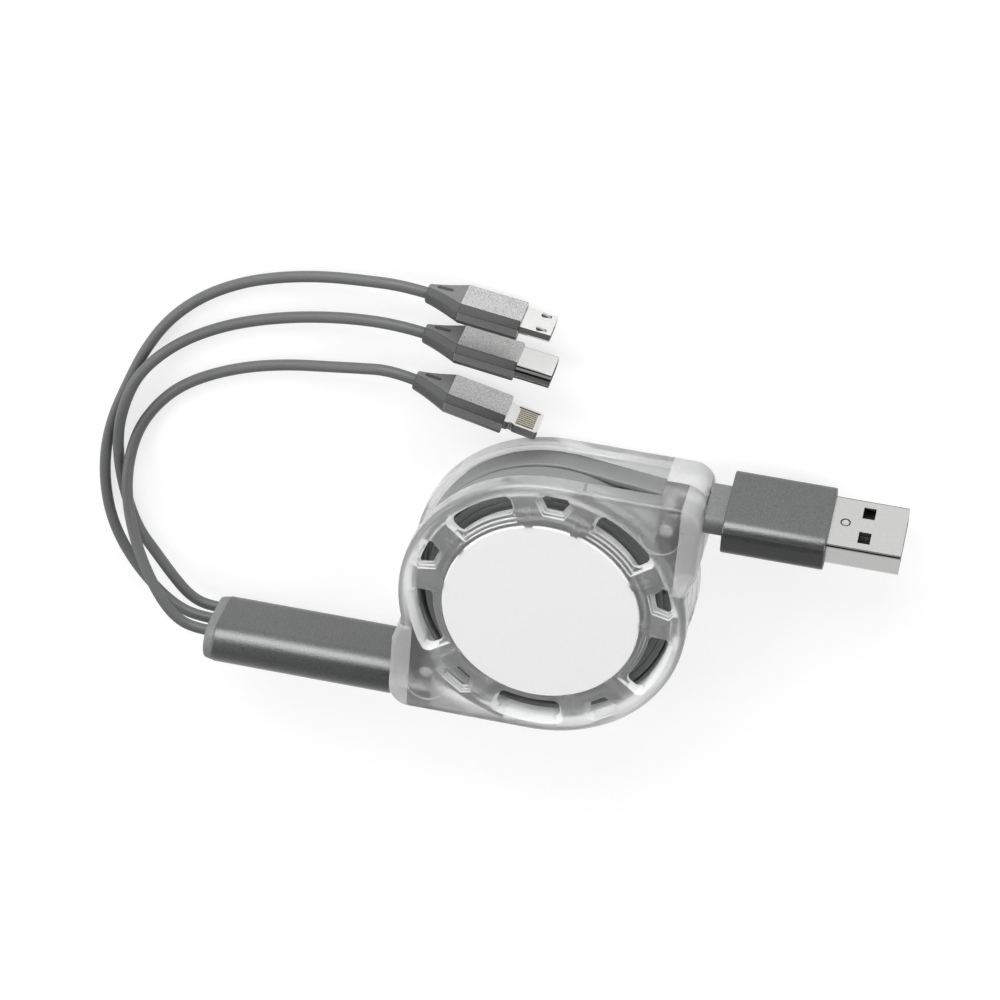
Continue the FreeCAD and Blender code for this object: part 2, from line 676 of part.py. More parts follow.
def cable_section(angle, height):
    """Flat cable's section, upright and square to the reel's circle, at an angle and a height."""
    inner, outer = LEAD_RADIUS - CABLE_THICKNESS / 2, LEAD_RADIUS + CABLE_THICKNESS / 2
    low, high = height - CABLE_WIDTH / 2, height + CABLE_WIDTH / 2
    corners = [Vector(x, 0, z) for x, z in ((inner, low), (outer, low), (outer, high), (inner, high))]
    return turned(Part.makePolygon(corners + corners[:1]), angle)


def lead(height, mouth_height):
    """Outermost turn of a tier and its run to the right-hand mouth, slanting to the mouth's height."""
    leave = 90 - lead_slope()
    section = Part.Face(cable_section(leave, height))
    wrap = section.revolve(Vector(0, 0, 0), Z_AXIS, LEAD_WRAP)
    x, y = polar(LEAD_RADIUS, leave)
    run = Vector(EAR_REACH - x, MOUTH_Y - y, mouth_height - height)
    straight = section.extrude(run * LEAD_OVERRUN)
    end = box(-2 * EAR_REACH, 0, 0, EAR_REACH, 2 * EAR_REACH, HOUSING_THICKNESS)
    return wrap.fuse(straight.common(end)).removeSplitter()


# Plug sections and bars, built along +X from x = 0 with their width along Z


def rounded_section(width, thickness, rounding, x=0.0):
    """Wire of a rounded rectangle in the plane square to X."""
    half_z, half_y = width / 2, thickness / 2
    diagonal = rounding * (1 - math.sqrt(0.5))
    edges = []
    corners = ((1, 1), (-1, 1), (-1, -1), (1, -1))
    for index, (side_y, side_z) in enumerate(corners):
        flat_y = Vector(x, side_y * half_y, side_z * (half_z - rounding))
        flat_z = Vector(x, side_y * (half_y - rounding), side_z * half_z)
        middle = Vector(x, side_y * (half_y - diagonal), side_z * (half_z - diagonal))
        first, last = (flat_y, flat_z) if index % 2 == 0 else (flat_z, flat_y)
        edges.append((first, middle, last))
    wire = []
    for index, (first, middle, last) in enumerate(edges):
        wire.append(Part.Arc(first, middle, last).toShape())
        following = edges[(index + 1) % 4][0]
        if last.distanceToPoint(following) > FLAT_TOLERANCE:
            wire.append(Part.LineSegment(last, following).toShape())
    return Part.Wire(wire)


def rounded_bar(length, width, thickness, rounding, x=0.0):
    """Bar with a rounded rectangle for its section."""
    face = Part.Face(rounded_section(width, thickness, rounding, x))
    return face.extrude(Vector(length, 0, 0))


def chamfered_section(width, thickness, chamfer, x):
    """Wire of a rectangle with cut corners in the plane square to X."""
    half_z, half_y = width / 2, thickness / 2
    spots = [
        (half_y - chamfer, half_z), (half_y, half_z - chamfer),
        (half_y, chamfer - half_z), (half_y - chamfer, -half_z),
        (chamfer - half_y, -half_z), (-half_y, chamfer - half_z),
        (-half_y, half_z - chamfer), (chamfer - half_y, half_z),
    ]
    corners = [Vector(x, y, z) for y, z in spots]
    return Part.makePolygon(corners + corners[:1])


def slab(x0, x1, width, y0, y1, z=0.0):
    """Box along X with its width centred at a height z."""
    return box(x0, y0, z - width / 2, x1, y1, z + width / 2)


# USB-A plug


def on_usb_axis(shape):
    """Shape of the USB-A plug leaned on its axis and set at the mouth's line."""
    shape.Placement = Placement(Vector(0, MOUTH_Y, MID), Rotation(X_AXIS, PLUG_LEAN))
    return shape


def usb_boot():
    """Soft boot between the flat cable and the sleeve."""
    return on_usb_axis(rounded_bar(BOOT_LENGTH, BOOT_WIDTH, BOOT_THICKNESS, BOOT_ROUNDING, BOOT_X))


def usb_cavity_section():
    """Width, thickness and rounding of the space inside the sleeve."""
    shrink = 2 * USB_SLEEVE_WALL
    return (
        USB_SLEEVE_WIDTH - shrink, USB_SLEEVE_THICKNESS - shrink,
        USB_SLEEVE_ROUNDING - USB_SLEEVE_WALL,
    )


def usb_sleeve():
    """Anodised tube of the USB-A plug, with its two ends eased."""
    outer = rounded_bar(
        USB_SLEEVE_LENGTH, USB_SLEEVE_WIDTH, USB_SLEEVE_THICKNESS, USB_SLEEVE_ROUNDING, USB_SLEEVE_X
    )
    ends = [face for face in outer.Faces if abs(abs(face.normalAt(0, 0).x) - 1) < FLAT_TOLERANCE]
    outer = outer.makeChamfer(USB_SLEEVE_WALL / 2, [edge for face in ends for edge in face.Edges])
    return on_usb_axis(outer.cut(rounded_bar(USB_SLEEVE_LENGTH, *usb_cavity_section(), USB_SLEEVE_X)))


def usb_core():
    """Moulding that fills the sleeve round the shell's tail."""
    length = USB_SLEEVE_LENGTH - 2 * USB_SLEEVE_INSET
    core = rounded_bar(length, *usb_cavity_section(), USB_SLEEVE_X + USB_SLEEVE_INSET)
    stub = rounded_bar(USB_SLEEVE_INSET, BOOT_WIDTH, BOOT_THICKNESS, BOOT_ROUNDING, USB_SLEEVE_X)
    return on_usb_axis(core.fuse(stub).cut(usb_shell_bar(0)).removeSplitter())


def usb_shell_bar(wall):
    """Solid of the shell's outside, or of its inside with the wall taken off."""
    start = USB_SHELL_X - USB_SHELL_GRIP
    return rounded_bar(
        USB_TIP_X - start, USB_SHELL_WIDTH - 2 * wall, USB_SHELL_THICKNESS - 2 * wall,
        USB_SHELL_ROUNDING - wall, start,
    )


def usb_shell():
    """Folded steel shell with two windows in each wide side and a dimple near the sleeve."""
    shell = usb_shell_bar(0).cut(usb_shell_bar(USB_SHELL_WALL))
    end = USB_TIP_X - USB_WINDOW_SETBACK
    half = USB_SHELL_THICKNESS / 2
    cuts = []
    for spot in (USB_WINDOW_SPREAD, -USB_WINDOW_SPREAD):
        cuts.append(slab(end - USB_WINDOW_LENGTH, end, USB_WINDOW_WIDTH, -half, half, spot))
    dimple_x = USB_TIP_X - USB_DIMPLE_SETBACK
    dimple = Part.makeCylinder(
        USB_DIMPLE_RADIUS, USB_DIMPLE_DEPTH, Vector(dimple_x, half - USB_DIMPLE_DEPTH, 0), Vector(0, 1, 0)
    )
    return on_usb_axis(shell.cut(cuts + [dimple]))


def usb_tongue_face():
    """Y of the tongue's contact side, inside the shell."""
    return -USB_SHELL_THICKNESS / 2 + USB_SHELL_WALL + USB_TONGUE_THICKNESS


def usb_tongue():
    """Insulating tongue along one wide wall of the shell."""
    start = USB_SHELL_X - USB_SHELL_GRIP
    width = USB_SHELL_WIDTH - 2 * USB_SHELL_ROUNDING
    bottom = -USB_SHELL_THICKNESS / 2 + USB_SHELL_WALL
    tongue = slab(start, USB_TIP_X - USB_TONGUE_SETBACK, width, bottom, usb_tongue_face())
    return on_usb_axis(tongue)


def usb_contacts():
    """Four contact strips on the tongue, the outer two longer."""
    strips = []
    end = USB_TIP_X - USB_CONTACT_SETBACK
    face = usb_tongue_face()
    for spot, length in ((USB_CONTACT_OUTER, USB_CONTACT_LONG), (USB_CONTACT_INNER, USB_CONTACT_SHORT)):
        for side in (1, -1):
            strip = slab(
                end - length, end, USB_CONTACT_WIDTH, face, face + USB_CONTACT_THICKNESS, side * spot
            )
            strips.append(strip)
    return on_usb_axis(Part.makeCompound(strips))


# Splitter


def on_splitter_axis(shape):
    """Shape of the splitter, built from its cord side along +X, set on the splitter's line."""
    shape.Placement = Placement(Vector(CORD_EXIT_X, SPLITTER_Y, MID), Rotation())
    return shape


def splitter_sleeve():
    """Anodised flat-oval tube of the splitter."""
    length = SPLITTER_LENGTH - SPLITTER_CAP
    rounding = SPLITTER_THICKNESS / 2
    outer = rounded_bar(length, SPLITTER_WIDTH, SPLITTER_THICKNESS, rounding, SPLITTER_CAP)
    shrink = 2 * SPLITTER_WALL
    inner = rounded_bar(
        length, SPLITTER_WIDTH - shrink, SPLITTER_THICKNESS - shrink, rounding - SPLITTER_WALL, SPLITTER_CAP
    )
    return on_splitter_axis(outer.cut(inner))


def splitter_core():
    """Moulding inside the sleeve that holds the joint of the flat cable and the cords."""
    shrink = 2 * SPLITTER_WALL
    rounding = SPLITTER_THICKNESS / 2 - SPLITTER_WALL
    length = SPLITTER_LENGTH - SPLITTER_CAP - SPLITTER_CORE_INSET
    core = rounded_bar(
        length, SPLITTER_WIDTH - shrink, SPLITTER_THICKNESS - shrink, rounding, SPLITTER_CAP
    )
    return on_splitter_axis(core)


def splitter_cord_cap():
    """End cap that the three cords leave, drawn in a little towards its face."""
    rounding = SPLITTER_THICKNESS / 2
    wide = rounded_section(SPLITTER_WIDTH, SPLITTER_THICKNESS, rounding, SPLITTER_CAP)
    shrink = 2 * SPLITTER_CAP_TAPER
    narrow = rounded_section(
        SPLITTER_WIDTH - shrink, SPLITTER_THICKNESS - shrink, rounding - SPLITTER_CAP_TAPER
    )
    return on_splitter_axis(Part.makeLoft([narrow, wide], True, True))


# Cords


def cord(points):
    """Round cord along straight runs joined by tangent arcs as large as the runs allow."""
    route = [Vector(*point) for point in points]
    edges, radii = [], []
    start = route[0]
    for before, here, after in zip(route, route[1:], route[2:]):
        back, ahead = before - here, after - here
        turn = math.pi - back.getAngle(ahead)
        cut = CORD_ARC_SHARE * min(back.Length, ahead.Length)
        radius = cut / math.tan(turn / 2)
        radii.append(radius)
        back.normalize()
        ahead.normalize()
        arc_start, arc_end = here + back * cut, here + ahead * cut
        bisector = (back + ahead).normalize()
        centre = here + bisector * math.hypot(radius, cut)
        edges.append(Part.LineSegment(start, arc_start).toShape())
        edges.append(Part.Arc(arc_start, centre - bisector * radius, arc_end).toShape())
        start = arc_end
    edges.append(Part.LineSegment(start, route[-1]).toShape())
    path = Part.Wire(edges)
    circle = Part.Wire(Part.makeCircle(CORD_RADIUS, route[0], route[1] - route[0]))
    tube = path.makePipeShell([circle], True, False, 2)
    section = math.pi * CORD_RADIUS ** 2
    share = tube.Volume / (section * path.Length)
    print("cord length %.1f, smallest radius %.1f, volume share %.4f" % (path.Length, min(radii), share))
    return tube


def relief_start(tip_x, tip_y, turn, reach, before=0.0):
    """Place where a cord enters its plug, or a stretch before it, worked back from the plug's tip."""
    length = RELIEF_LENGTH + GRIP_LENGTH + reach + before
    x, y = polar(length, turn)
    return tip_x - x, tip_y - y, GRIP_HEIGHT


def cord_exit(row, after=0.0):
    """Place where a cord leaves the splitter, or a stretch after it, in row -1, 0 or 1 up its end."""
    return CORD_EXIT_X - after, SPLITTER_Y, MID - CORD_DROP + row * CORD_SPREAD


def beside_exit(x, y, z):
    """Point of a cord given from the middle of the splitter's cord side on the plan."""
    return CORD_EXIT_X + x, SPLITTER_Y + y, z


def micro_cord():
    """Cord to the micro plug, in the middle at the splitter, the outermost bend on the ground."""
    points = [
        cord_exit(0), cord_exit(0, CORD_EXIT_RUN),
        beside_exit(-6.9, 0.9, 6.1), beside_exit(-11.3, 3.2, 5.1), beside_exit(-16.8, 7.7, 3.4),
        beside_exit(-20.9, 13.7, 2.0), beside_exit(-22.8, 20.5, 1.1), beside_exit(-23.0, 28.1, 1.0),
        (-82.0, 13.7, 1.0), (-79.5, 20.8, 1.0), (-76.4, 28.6, 1.0), (-72.2, 35.6, 1.0), (-66.4, 41.3, 1.0),
        (-59.5, 45.4, 1.0), (-52.1, 48.0, 1.2), (-44.6, 49.9, 2.0), (-37.4, 51.1, 3.2),
        relief_start(*MICRO_PLACE, CORD_ENTRY_RUN), relief_start(*MICRO_PLACE),
    ]
    return cord(points)


def type_c_cord():
    """Cord to the type-C plug, lowest at the splitter, leaning over the micro plug's cord."""
    points = [
        cord_exit(-1), cord_exit(-1, CORD_EXIT_RUN),
        beside_exit(-6.3, 1.5, 2.4), beside_exit(-9.5, 4.7, 2.0), beside_exit(-12.9, 8.6, 1.4),
        beside_exit(-16.5, 12.9, 1.0), beside_exit(-18.8, 19.1, 1.0), beside_exit(-20.3, 26.1, 1.1),
        (-80.5, 12.0, 2.6), (-79.2, 18.5, 3.4), (-77.0, 24.5, 3.4), (-73.3, 28.9, 2.1), (-68.3, 32.8, 1.1),
        (-61.7, 36.5, 1.0), (-54.7, 39.1, 1.0), (-47.0, 41.4, 1.7), (-38.6, 43.3, 3.0),
        relief_start(*TYPE_C_PLACE, CORD_ENTRY_RUN), relief_start(*TYPE_C_PLACE),
    ]
    return cord(points)


def eight_pin_cord():
    """Cord to the eight-contact plug, highest at the splitter, passing over the other two."""
    points = [
        cord_exit(1), cord_exit(1, CORD_EXIT_RUN),
        beside_exit(-6.4, 1.3, 10.0), beside_exit(-9.6, 4.4, 9.4), beside_exit(-13.2, 9.3, 7.6),
        beside_exit(-15.8, 13.8, 5.6), beside_exit(-17.5, 18.8, 4.2), beside_exit(-18.2, 24.3, 3.4),
        (-78.2, 7.9, 2.2), (-76.9, 12.9, 1.2), (-74.0, 17.9, 1.0), (-69.9, 22.5, 1.0), (-64.1, 26.2, 1.0),
        (-57.4, 29.0, 1.0), (-50.2, 30.9, 1.2), (-43.2, 32.4, 2.2), (-37.2, 33.9, 3.4),
        relief_start(*EIGHT_PLACE, CORD_ENTRY_RUN), relief_start(*EIGHT_PLACE),
    ]
    return cord(points)


# Small plugs, built along +X from the cord's end at x = 0


def placed(shape, tip_x, tip_y, turn, reach):
    """Shape of a small plug set at its place on the ground."""
    x, y, z = relief_start(tip_x, tip_y, turn, reach)
    shape.Placement = Placement(Vector(x, y, z), Rotation(Z_AXIS, turn))
    return shape


def relief_size(share):
    """Width, thickness and corner cut of a strain relief at a share of its length, flaring to the grip."""
    shrink = 2 * RELIEF_TIP_MARGIN
    width = RELIEF_END_WIDTH + (GRIP_WIDTH - shrink - RELIEF_END_WIDTH) * share ** RELIEF_FLARE
    thickness = RELIEF_END_WIDTH + (GRIP_THICKNESS - shrink - RELIEF_END_WIDTH) * share
    return width, thickness, RELIEF_END_CHAMFER + (GRIP_CHAMFER - RELIEF_END_CHAMFER) * share


def relief():
    """Flaring strain relief with cut corners and a small slot in each wide side."""
    sections = []
    for step in range(RELIEF_STEPS + 1):
        share = step / RELIEF_STEPS
        sections.append(chamfered_section(*relief_size(share), share * RELIEF_LENGTH))
    body = Part.makeLoft(sections, True, True)
    surface = relief_size(RELIEF_SLOT_PLACE / RELIEF_LENGTH)[1] / 2
    half = RELIEF_SLOT_LENGTH / 2
    slot = slab(
        RELIEF_SLOT_PLACE - half, RELIEF_SLOT_PLACE + half, RELIEF_SLOT_WIDTH,
        surface - RELIEF_SLOT_DEPTH, GRIP_THICKNESS,
    )
    other = slot.copy()
    other.rotate(Vector(0, 0, 0), X_AXIS, 180)
    return body.cut([slot, other])


def grip(hole):
    """Metal sleeve of a small plug with cut corners and a hole for its tip."""
    start, end = RELIEF_LENGTH, RELIEF_LENGTH + GRIP_LENGTH
    face = Part.Face(chamfered_section(GRIP_WIDTH, GRIP_THICKNESS, GRIP_CHAMFER, start))
    return face.extrude(Vector(end - start, 0, 0)).cut(hole)


def tip_start():
    """Start of a plug's tip, inside the sleeve."""
    return RELIEF_LENGTH + GRIP_LENGTH - TIP_GRIP


def tip_end(reach):
    """End of a plug's tip."""
    return RELIEF_LENGTH + GRIP_LENGTH + reach


def liner_end(reach):
    """How far the insulator comes forward in a hollow tip."""
    return RELIEF_LENGTH + GRIP_LENGTH + LINER_SHARE * reach


def micro_bar(shrink):
    """Solid of the micro tip's outside, two corners cut, or of its inside with the wall taken off."""
    half_z, half_y = MICRO_WIDTH / 2 - shrink, MICRO_THICKNESS / 2 - shrink
    bevel = MICRO_BEVEL
    start = tip_start()
    spots = [
        (half_y, half_z), (half_y, -half_z), (bevel - half_y, -half_z),
        (-half_y, bevel - half_z), (-half_y, half_z - bevel), (bevel - half_y, half_z),
    ]
    corners = [Vector(start, y, z) for y, z in spots]
    face = Part.Face(Part.makePolygon(corners + corners[:1]))
    return face.extrude(Vector(tip_end(MICRO_REACH) - start, 0, 0))


def latch_slab(margin, y0, y1, side):
    """Box of one latch, or of the slot that it stands in with a margin."""
    end = tip_end(MICRO_REACH) - LATCH_SETBACK
    return slab(
        end - LATCH_LENGTH - margin, end + margin, LATCH_WIDTH + 2 * margin, y0, y1, side * LATCH_SPREAD
    )


def micro_shell():
    """Hollow shell of the micro tip with two slots for its latches."""
    half = MICRO_THICKNESS / 2
    slots = [latch_slab(LATCH_SLOT_MARGIN, 0, half, side) for side in (1, -1)]
    return micro_bar(0).cut(micro_bar(TIP_WALL)).cut(slots)


def micro_latches():
    """Two spring latches: an arm inside the shell with a hook that stands out of its slot."""
    inside = MICRO_THICKNESS / 2 - TIP_WALL
    arms = []
    for side in (1, -1):
        hook = latch_slab(0, inside - LATCH_HEIGHT, MICRO_THICKNESS / 2 + LATCH_HEIGHT, side)
        hook_end = tip_end(MICRO_REACH) - LATCH_SETBACK
        arm = slab(
            liner_end(MICRO_REACH), hook_end, LATCH_WIDTH, inside - LATCH_HEIGHT, inside, side * LATCH_SPREAD
        )
        slope = Part.makeBox(2 * LATCH_LENGTH, LATCH_LENGTH, LATCH_LENGTH)
        slope.translate(Vector(-LATCH_LENGTH, 0, -LATCH_LENGTH / 2))
        slope.rotate(Vector(0, 0, 0), Z_AXIS, -LATCH_SLOPE)
        slope.translate(Vector(hook_end, inside + LATCH_HEIGHT / 2, side * LATCH_SPREAD))
        arms.append(hook.fuse(arm).cut(slope).removeSplitter())
    return Part.makeCompound(arms)


def micro_insulator():
    """Insulator at the root of the micro tip, with the tongue that carries the contacts."""
    start = tip_start()
    root = micro_bar(TIP_WALL).common(
        slab(start, liner_end(MICRO_REACH), MICRO_WIDTH, -MICRO_THICKNESS, MICRO_THICKNESS)
    )
    return root


def micro_contacts():
    """Five contact strips in the mouth of the micro tip."""
    return contact_row(MICRO_CONTACTS, MICRO_WIDTH - 4 * MICRO_BEVEL, MICRO_REACH, MICRO_THICKNESS)


def contact_row(count, width, reach, thickness):
    """Row of contact strips that lie along one inner wall of a hollow tip."""
    pitch = width / count
    depth = thickness / 2 - TIP_WALL
    strips = []
    for index in range(count):
        spot = (index - (count - 1) / 2) * pitch
        end = tip_end(reach) - LATCH_SETBACK / 2
        strips.append(slab(liner_end(reach), end, pitch / 2, -depth, -depth / 2, spot))
    return Part.makeCompound(strips)


def type_c_bar(shrink):
    """Solid of the type-C tip's outside, or of its inside with the wall taken off."""
    start = tip_start()
    thickness = TYPE_C_THICKNESS - 2 * shrink
    return rounded_bar(
        tip_end(TYPE_C_REACH) - start, TYPE_C_WIDTH - 2 * shrink, thickness, thickness / 2, start
    )


def type_c_shell():
    """Hollow seamless shell of the type-C tip."""
    return type_c_bar(0).cut(type_c_bar(TIP_WALL))


def type_c_insulator():
    """Insulator at the root of the type-C tip."""
    room = slab(
        tip_start(), liner_end(TYPE_C_REACH), TYPE_C_WIDTH, -TYPE_C_THICKNESS, TYPE_C_THICKNESS
    )
    return type_c_bar(TIP_WALL).common(room)


def type_c_contacts():
    """Row of contact strips along one inner wall of the type-C tip."""
    width = TYPE_C_WIDTH - TYPE_C_THICKNESS
    return contact_row(TYPE_C_CONTACTS, width, TYPE_C_REACH, TYPE_C_THICKNESS)


def eight_blade_bar():
    """Flat blade of the eight-contact plug with a rounded nose."""
    start, end = tip_start(), tip_end(EIGHT_REACH)
    half = EIGHT_THICKNESS / 2
    blade = slab(start, end, EIGHT_WIDTH, -half, half)
    nose = []
    for edge in blade.Edges:
        ends = [vertex.Point for vertex in edge.Vertexes]
        at_end = min(point.x for point in ends) > end - FLAT_TOLERANCE
        if at_end and abs(ends[0].z - ends[1].z) < FLAT_TOLERANCE:
            nose.append(edge)
    return blade.makeFillet(EIGHT_NOSE_RADIUS, nose)


def eight_field(side, depth, margin):
    """Box of the contact field on one side of the blade."""
    end = tip_end(EIGHT_REACH) - EIGHT_CONTACT_SETBACK
    half = EIGHT_THICKNESS / 2
    width = EIGHT_CONTACTS * EIGHT_CONTACT_PITCH + 2 * margin
    low, high = sorted((side * half, side * (half - depth)))
    return slab(end - EIGHT_CONTACT_LENGTH - margin, end + margin, width, low, high)


def eight_blade():
    """Steel blade with a shallow contact field in each side and a detent notch in each edge."""
    blade = eight_blade_bar()
    fields = [eight_field(side, EIGHT_FIELD_DEPTH, EIGHT_FIELD_MARGIN) for side in (1, -1)]
    notch_x = tip_end(EIGHT_REACH) - EIGHT_NOTCH_SETBACK
    reach = EIGHT_WIDTH / 2 + EIGHT_NOTCH_RADIUS / 2
    half = EIGHT_THICKNESS / 2
    notches = []
    for side in (1, -1):
        spot = Vector(notch_x, -half, side * reach)
        notches.append(Part.makeCylinder(EIGHT_NOTCH_RADIUS, EIGHT_THICKNESS, spot, Vector(0, 1, 0)))
    return blade.cut(fields + notches)


def eight_contacts():
    """Gold strips in the two contact fields of the blade."""
    strips = []
    end = tip_end(EIGHT_REACH) - EIGHT_CONTACT_SETBACK
    half = EIGHT_THICKNESS / 2
    for side in (1, -1):
        low, high = sorted((side * half, side * (half - EIGHT_FIELD_DEPTH)))
        for index in range(EIGHT_CONTACTS):
            spot = (index - (EIGHT_CONTACTS - 1) / 2) * EIGHT_CONTACT_PITCH
            strips.append(slab(end - EIGHT_CONTACT_LENGTH, end, EIGHT_CONTACT_WIDTH, low, high, spot))
    return Part.makeCompound(strips)


# All pieces


def small_plugs():
    """Pieces of the three small plugs by name, each set at its place."""
    pieces = {
        "micro_relief": (relief(), MICRO_PLACE),
        "micro_grip": (grip(micro_bar(0)), MICRO_PLACE),
        "micro_shell": (micro_shell(), MICRO_PLACE),
        "micro_latches": (micro_latches(), MICRO_PLACE),
        "micro_insulator": (micro_insulator(), MICRO_PLACE),
        "micro_contacts": (micro_contacts(), MICRO_PLACE),
        "type_c_relief": (relief(), TYPE_C_PLACE),
        "type_c_grip": (grip(type_c_bar(0)), TYPE_C_PLACE),
        "type_c_shell": (type_c_shell(), TYPE_C_PLACE),
        "type_c_insulator": (type_c_insulator(), TYPE_C_PLACE),
        "type_c_contacts": (type_c_contacts(), TYPE_C_PLACE),
        "eight_pin_relief": (relief(), EIGHT_PLACE),
        "eight_pin_grip": (grip(eight_blade_bar()), EIGHT_PLACE),
        "eight_pin_blade": (eight_blade(), EIGHT_PLACE),
        "eight_pin_contacts": (eight_contacts(), EIGHT_PLACE),
    }
    return {name: placed(shape, *place) for name, (shape, place) in pieces.items()}


def all_pieces():
    """Every piece of the cable by name."""
    pieces = {
        "front_cover": front_cover(),
        "rear_cover": rear_cover(),
        "face_disc": face_disc(),
        "centre_screw": centre_screw(),
        "lock_ball": lock_ball(),
        "usb_lead": lead(USB_TIER_Z, USB_MOUTH_Z),
        "splitter_lead": opposite(lead(SPLITTER_TIER_Z, SPLITTER_MOUTH_Z)),
        "spool": spool(),
        "usb_winding": winding(REAR_TIER, REAR_TIER),
        "splitter_winding": winding(FRONT_TIER, FRONT_TIER + CABLE_WIDTH),
        "power_spring": power_spring(),
        "usb_boot": usb_boot(),
        "usb_sleeve": usb_sleeve(),
        "usb_core": usb_core(),
        "usb_shell": usb_shell(),
        "usb_tongue": usb_tongue(),
        "usb_contacts": usb_contacts(),
        "splitter_sleeve": splitter_sleeve(),
        "splitter_core": splitter_core(),
        "splitter_cord_cap": splitter_cord_cap(),
        "micro_cord": micro_cord(),
        "type_c_cord": type_c_cord(),
        "eight_pin_cord": eight_pin_cord(),
    }
    pieces.update(small_plugs())
    return pieces


os.makedirs("parts", exist_ok=True)
for name, shape in all_pieces().items():
    if not shape.isValid():
        print("not valid:", name)
    shape.exportStep("parts/%s.step" % name)
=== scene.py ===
"""Retractable three-in-one charging cable: soft pieces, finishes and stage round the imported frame."""
import json
from contextlib import contextmanager

import bmesh
import bpy
import numpy as np
from mathutils import Matrix, Vector
from mathutils.bvhtree import BVHTree


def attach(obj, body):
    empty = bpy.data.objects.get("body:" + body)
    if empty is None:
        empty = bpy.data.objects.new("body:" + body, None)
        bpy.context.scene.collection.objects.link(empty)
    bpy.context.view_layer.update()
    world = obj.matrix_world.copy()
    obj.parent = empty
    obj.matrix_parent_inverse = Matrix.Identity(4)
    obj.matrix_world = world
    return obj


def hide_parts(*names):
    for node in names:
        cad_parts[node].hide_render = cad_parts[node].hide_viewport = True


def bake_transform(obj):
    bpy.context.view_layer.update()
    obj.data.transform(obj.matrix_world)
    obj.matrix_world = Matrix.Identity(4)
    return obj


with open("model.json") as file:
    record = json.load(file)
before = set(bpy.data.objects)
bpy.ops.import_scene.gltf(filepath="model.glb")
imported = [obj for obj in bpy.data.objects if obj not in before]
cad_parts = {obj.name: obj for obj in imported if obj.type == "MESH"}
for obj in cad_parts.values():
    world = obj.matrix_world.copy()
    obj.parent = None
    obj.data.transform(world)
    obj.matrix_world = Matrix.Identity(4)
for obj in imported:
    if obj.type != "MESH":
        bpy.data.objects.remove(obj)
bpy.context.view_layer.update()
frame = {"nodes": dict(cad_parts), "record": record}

bl_info = {
    "name": "Retractable charging cable",
    "version": (1, 0, 0),
    "blender": (4, 5, 0),
    "location": "View3D > Sidebar > Cable",
    "description": "Builds the soft pieces, finishes and stage of a reel cable with four plugs",
    "category": "Add Mesh",
}

MM = 0.001

# Reel, in millimetres
MID = 8.6
EAR_REACH = 25.9
MOUTH_Y = 21.5
# Where the ears begin, along X on each cover and along Y on both
EAR_STARTS = {"front": 22.3, "rear": 18.3}
EAR_FOOT = 8.0
# Circles between which the windows' walls lie, with the most that a wall's normal points up or down; these
# walls get whiter plastic as painted light
WINDOW_RADII = (18.0, 23.7)
WALL_STEEP = 0.7
# Least that the normal of the rim's rounding points away from the reel's axis; this rounding gets painted
# shade
RIM_TURN = 0.1

# Flat cable, in millimetres and degrees
WINDING_INNER = 16.95
WINDING_OUTER = 22.2
ROWS_PER_TURN = 110
# Share of the edge rounding that the wound turns have
WOUND_EASE = 0.45
LEAD_RADIUS = 23.0
LEAD_WRAP = 338.0
LEAD_WRAP_ROWS = 200
# Where the straight run starts to follow its plug, its rows before and after, and its margin at the ear
RUN_BENDS = 21.5
RUN_ROWS = (16, 90)
REAR_TIER_MIDDLE = 4.4
FRONT_TIER_MIDDLE = 10.1
USB_MOUTH_HEIGHT = 6.6
SPLITTER_MOUTH_HEIGHT = 10.6

# Splitter, in millimetres
SLEEVE_WALL = 0.7
SPLITTER_Y = -21.8
SPLITTER_END = -60.3
SPLITTER_WIDTH = 15.0
SPLITTER_THICKNESS = 7.8
SPLITTER_EDGE_SHARE = 0.6
SPLITTER_CAP = 1.8
# Rounding of the oval's ends as a share of half its thickness, which keeps their middles apart
OVAL_SHARE = 0.999
# Distance from the cord end and inset of the cap's outlines
CAP_STATIONS = (
    (0.0, 0.95), (0.0, 0.75), (0.12, 0.5), (0.4, 0.36), (SPLITTER_CAP - 0.25, 0.12), (SPLITTER_CAP, 0.2),
)

# USB-A plug, in millimetres and degrees
PLUG_LEAN = 14.0
USB_SLEEVE_START = 29.3
USB_SLEEVE_END = 46.9
USB_SLEEVE_WIDTH = 15.4
USB_SLEEVE_THICKNESS = 7.2
USB_SLEEVE_ROUNDING = 2.4
# Columns of the sleeve's outline that make its two narrow sides, with some of the rounding, which get painted
# shade
USB_PAINTED_SHADE_COLUMNS = tuple(range(7, 14)) + tuple(range(29, 36))
SHELL_FACE = 2.25
# Painted shade on the shell's rounded edges, then a painted highlight on its narrow sides
SHELL_STEPS = (("tip_painted_shade", 12), ("shell_flank_painted_highlight", 62))
DIMPLE_PLACE = 49.3
DIMPLE_RADIUS = 0.9
DIMPLE_DEPTH = 0.14
DIMPLE_RINGS = 12
# Outer rings of the bowl that get painted shade
DIMPLE_PAINTED_SHADE_RINGS = 4
# Shares of the radius at the bowl's rim and at its flat middle
DIMPLE_SHARES = (0.97, 0.02)

# Small plugs, in millimetres
RELIEF_LENGTH = 6.3
RELIEF_END = 3.1
RELIEF_END_CHAMFER = 0.9
RELIEF_FLARE = 1.3
RELIEF_LIP = 0.4
RELIEF_EDGE = 0.2
RELIEF_ROWS = 16
# How much smaller than the sleeve the relief is where they meet
RELIEF_SETBACK = 0.1
GRIP_LENGTH = 10.6
GRIP_WIDTH = 9.0
GRIP_THICKNESS = 3.8
GRIP_CHAMFER = 1.1
GRIP_FRONT_SHARE = 1.6
# Depth and inset of the outlines inside the sleeve's front
GRIP_MOUTH = ((0.0, 0.5), (0.3, 0.55))
SLOT_PLACE = 2.9
SLOT_LENGTH = 2.9
SLOT_HEIGHT = 0.95
SLOT_DROP = 0.3
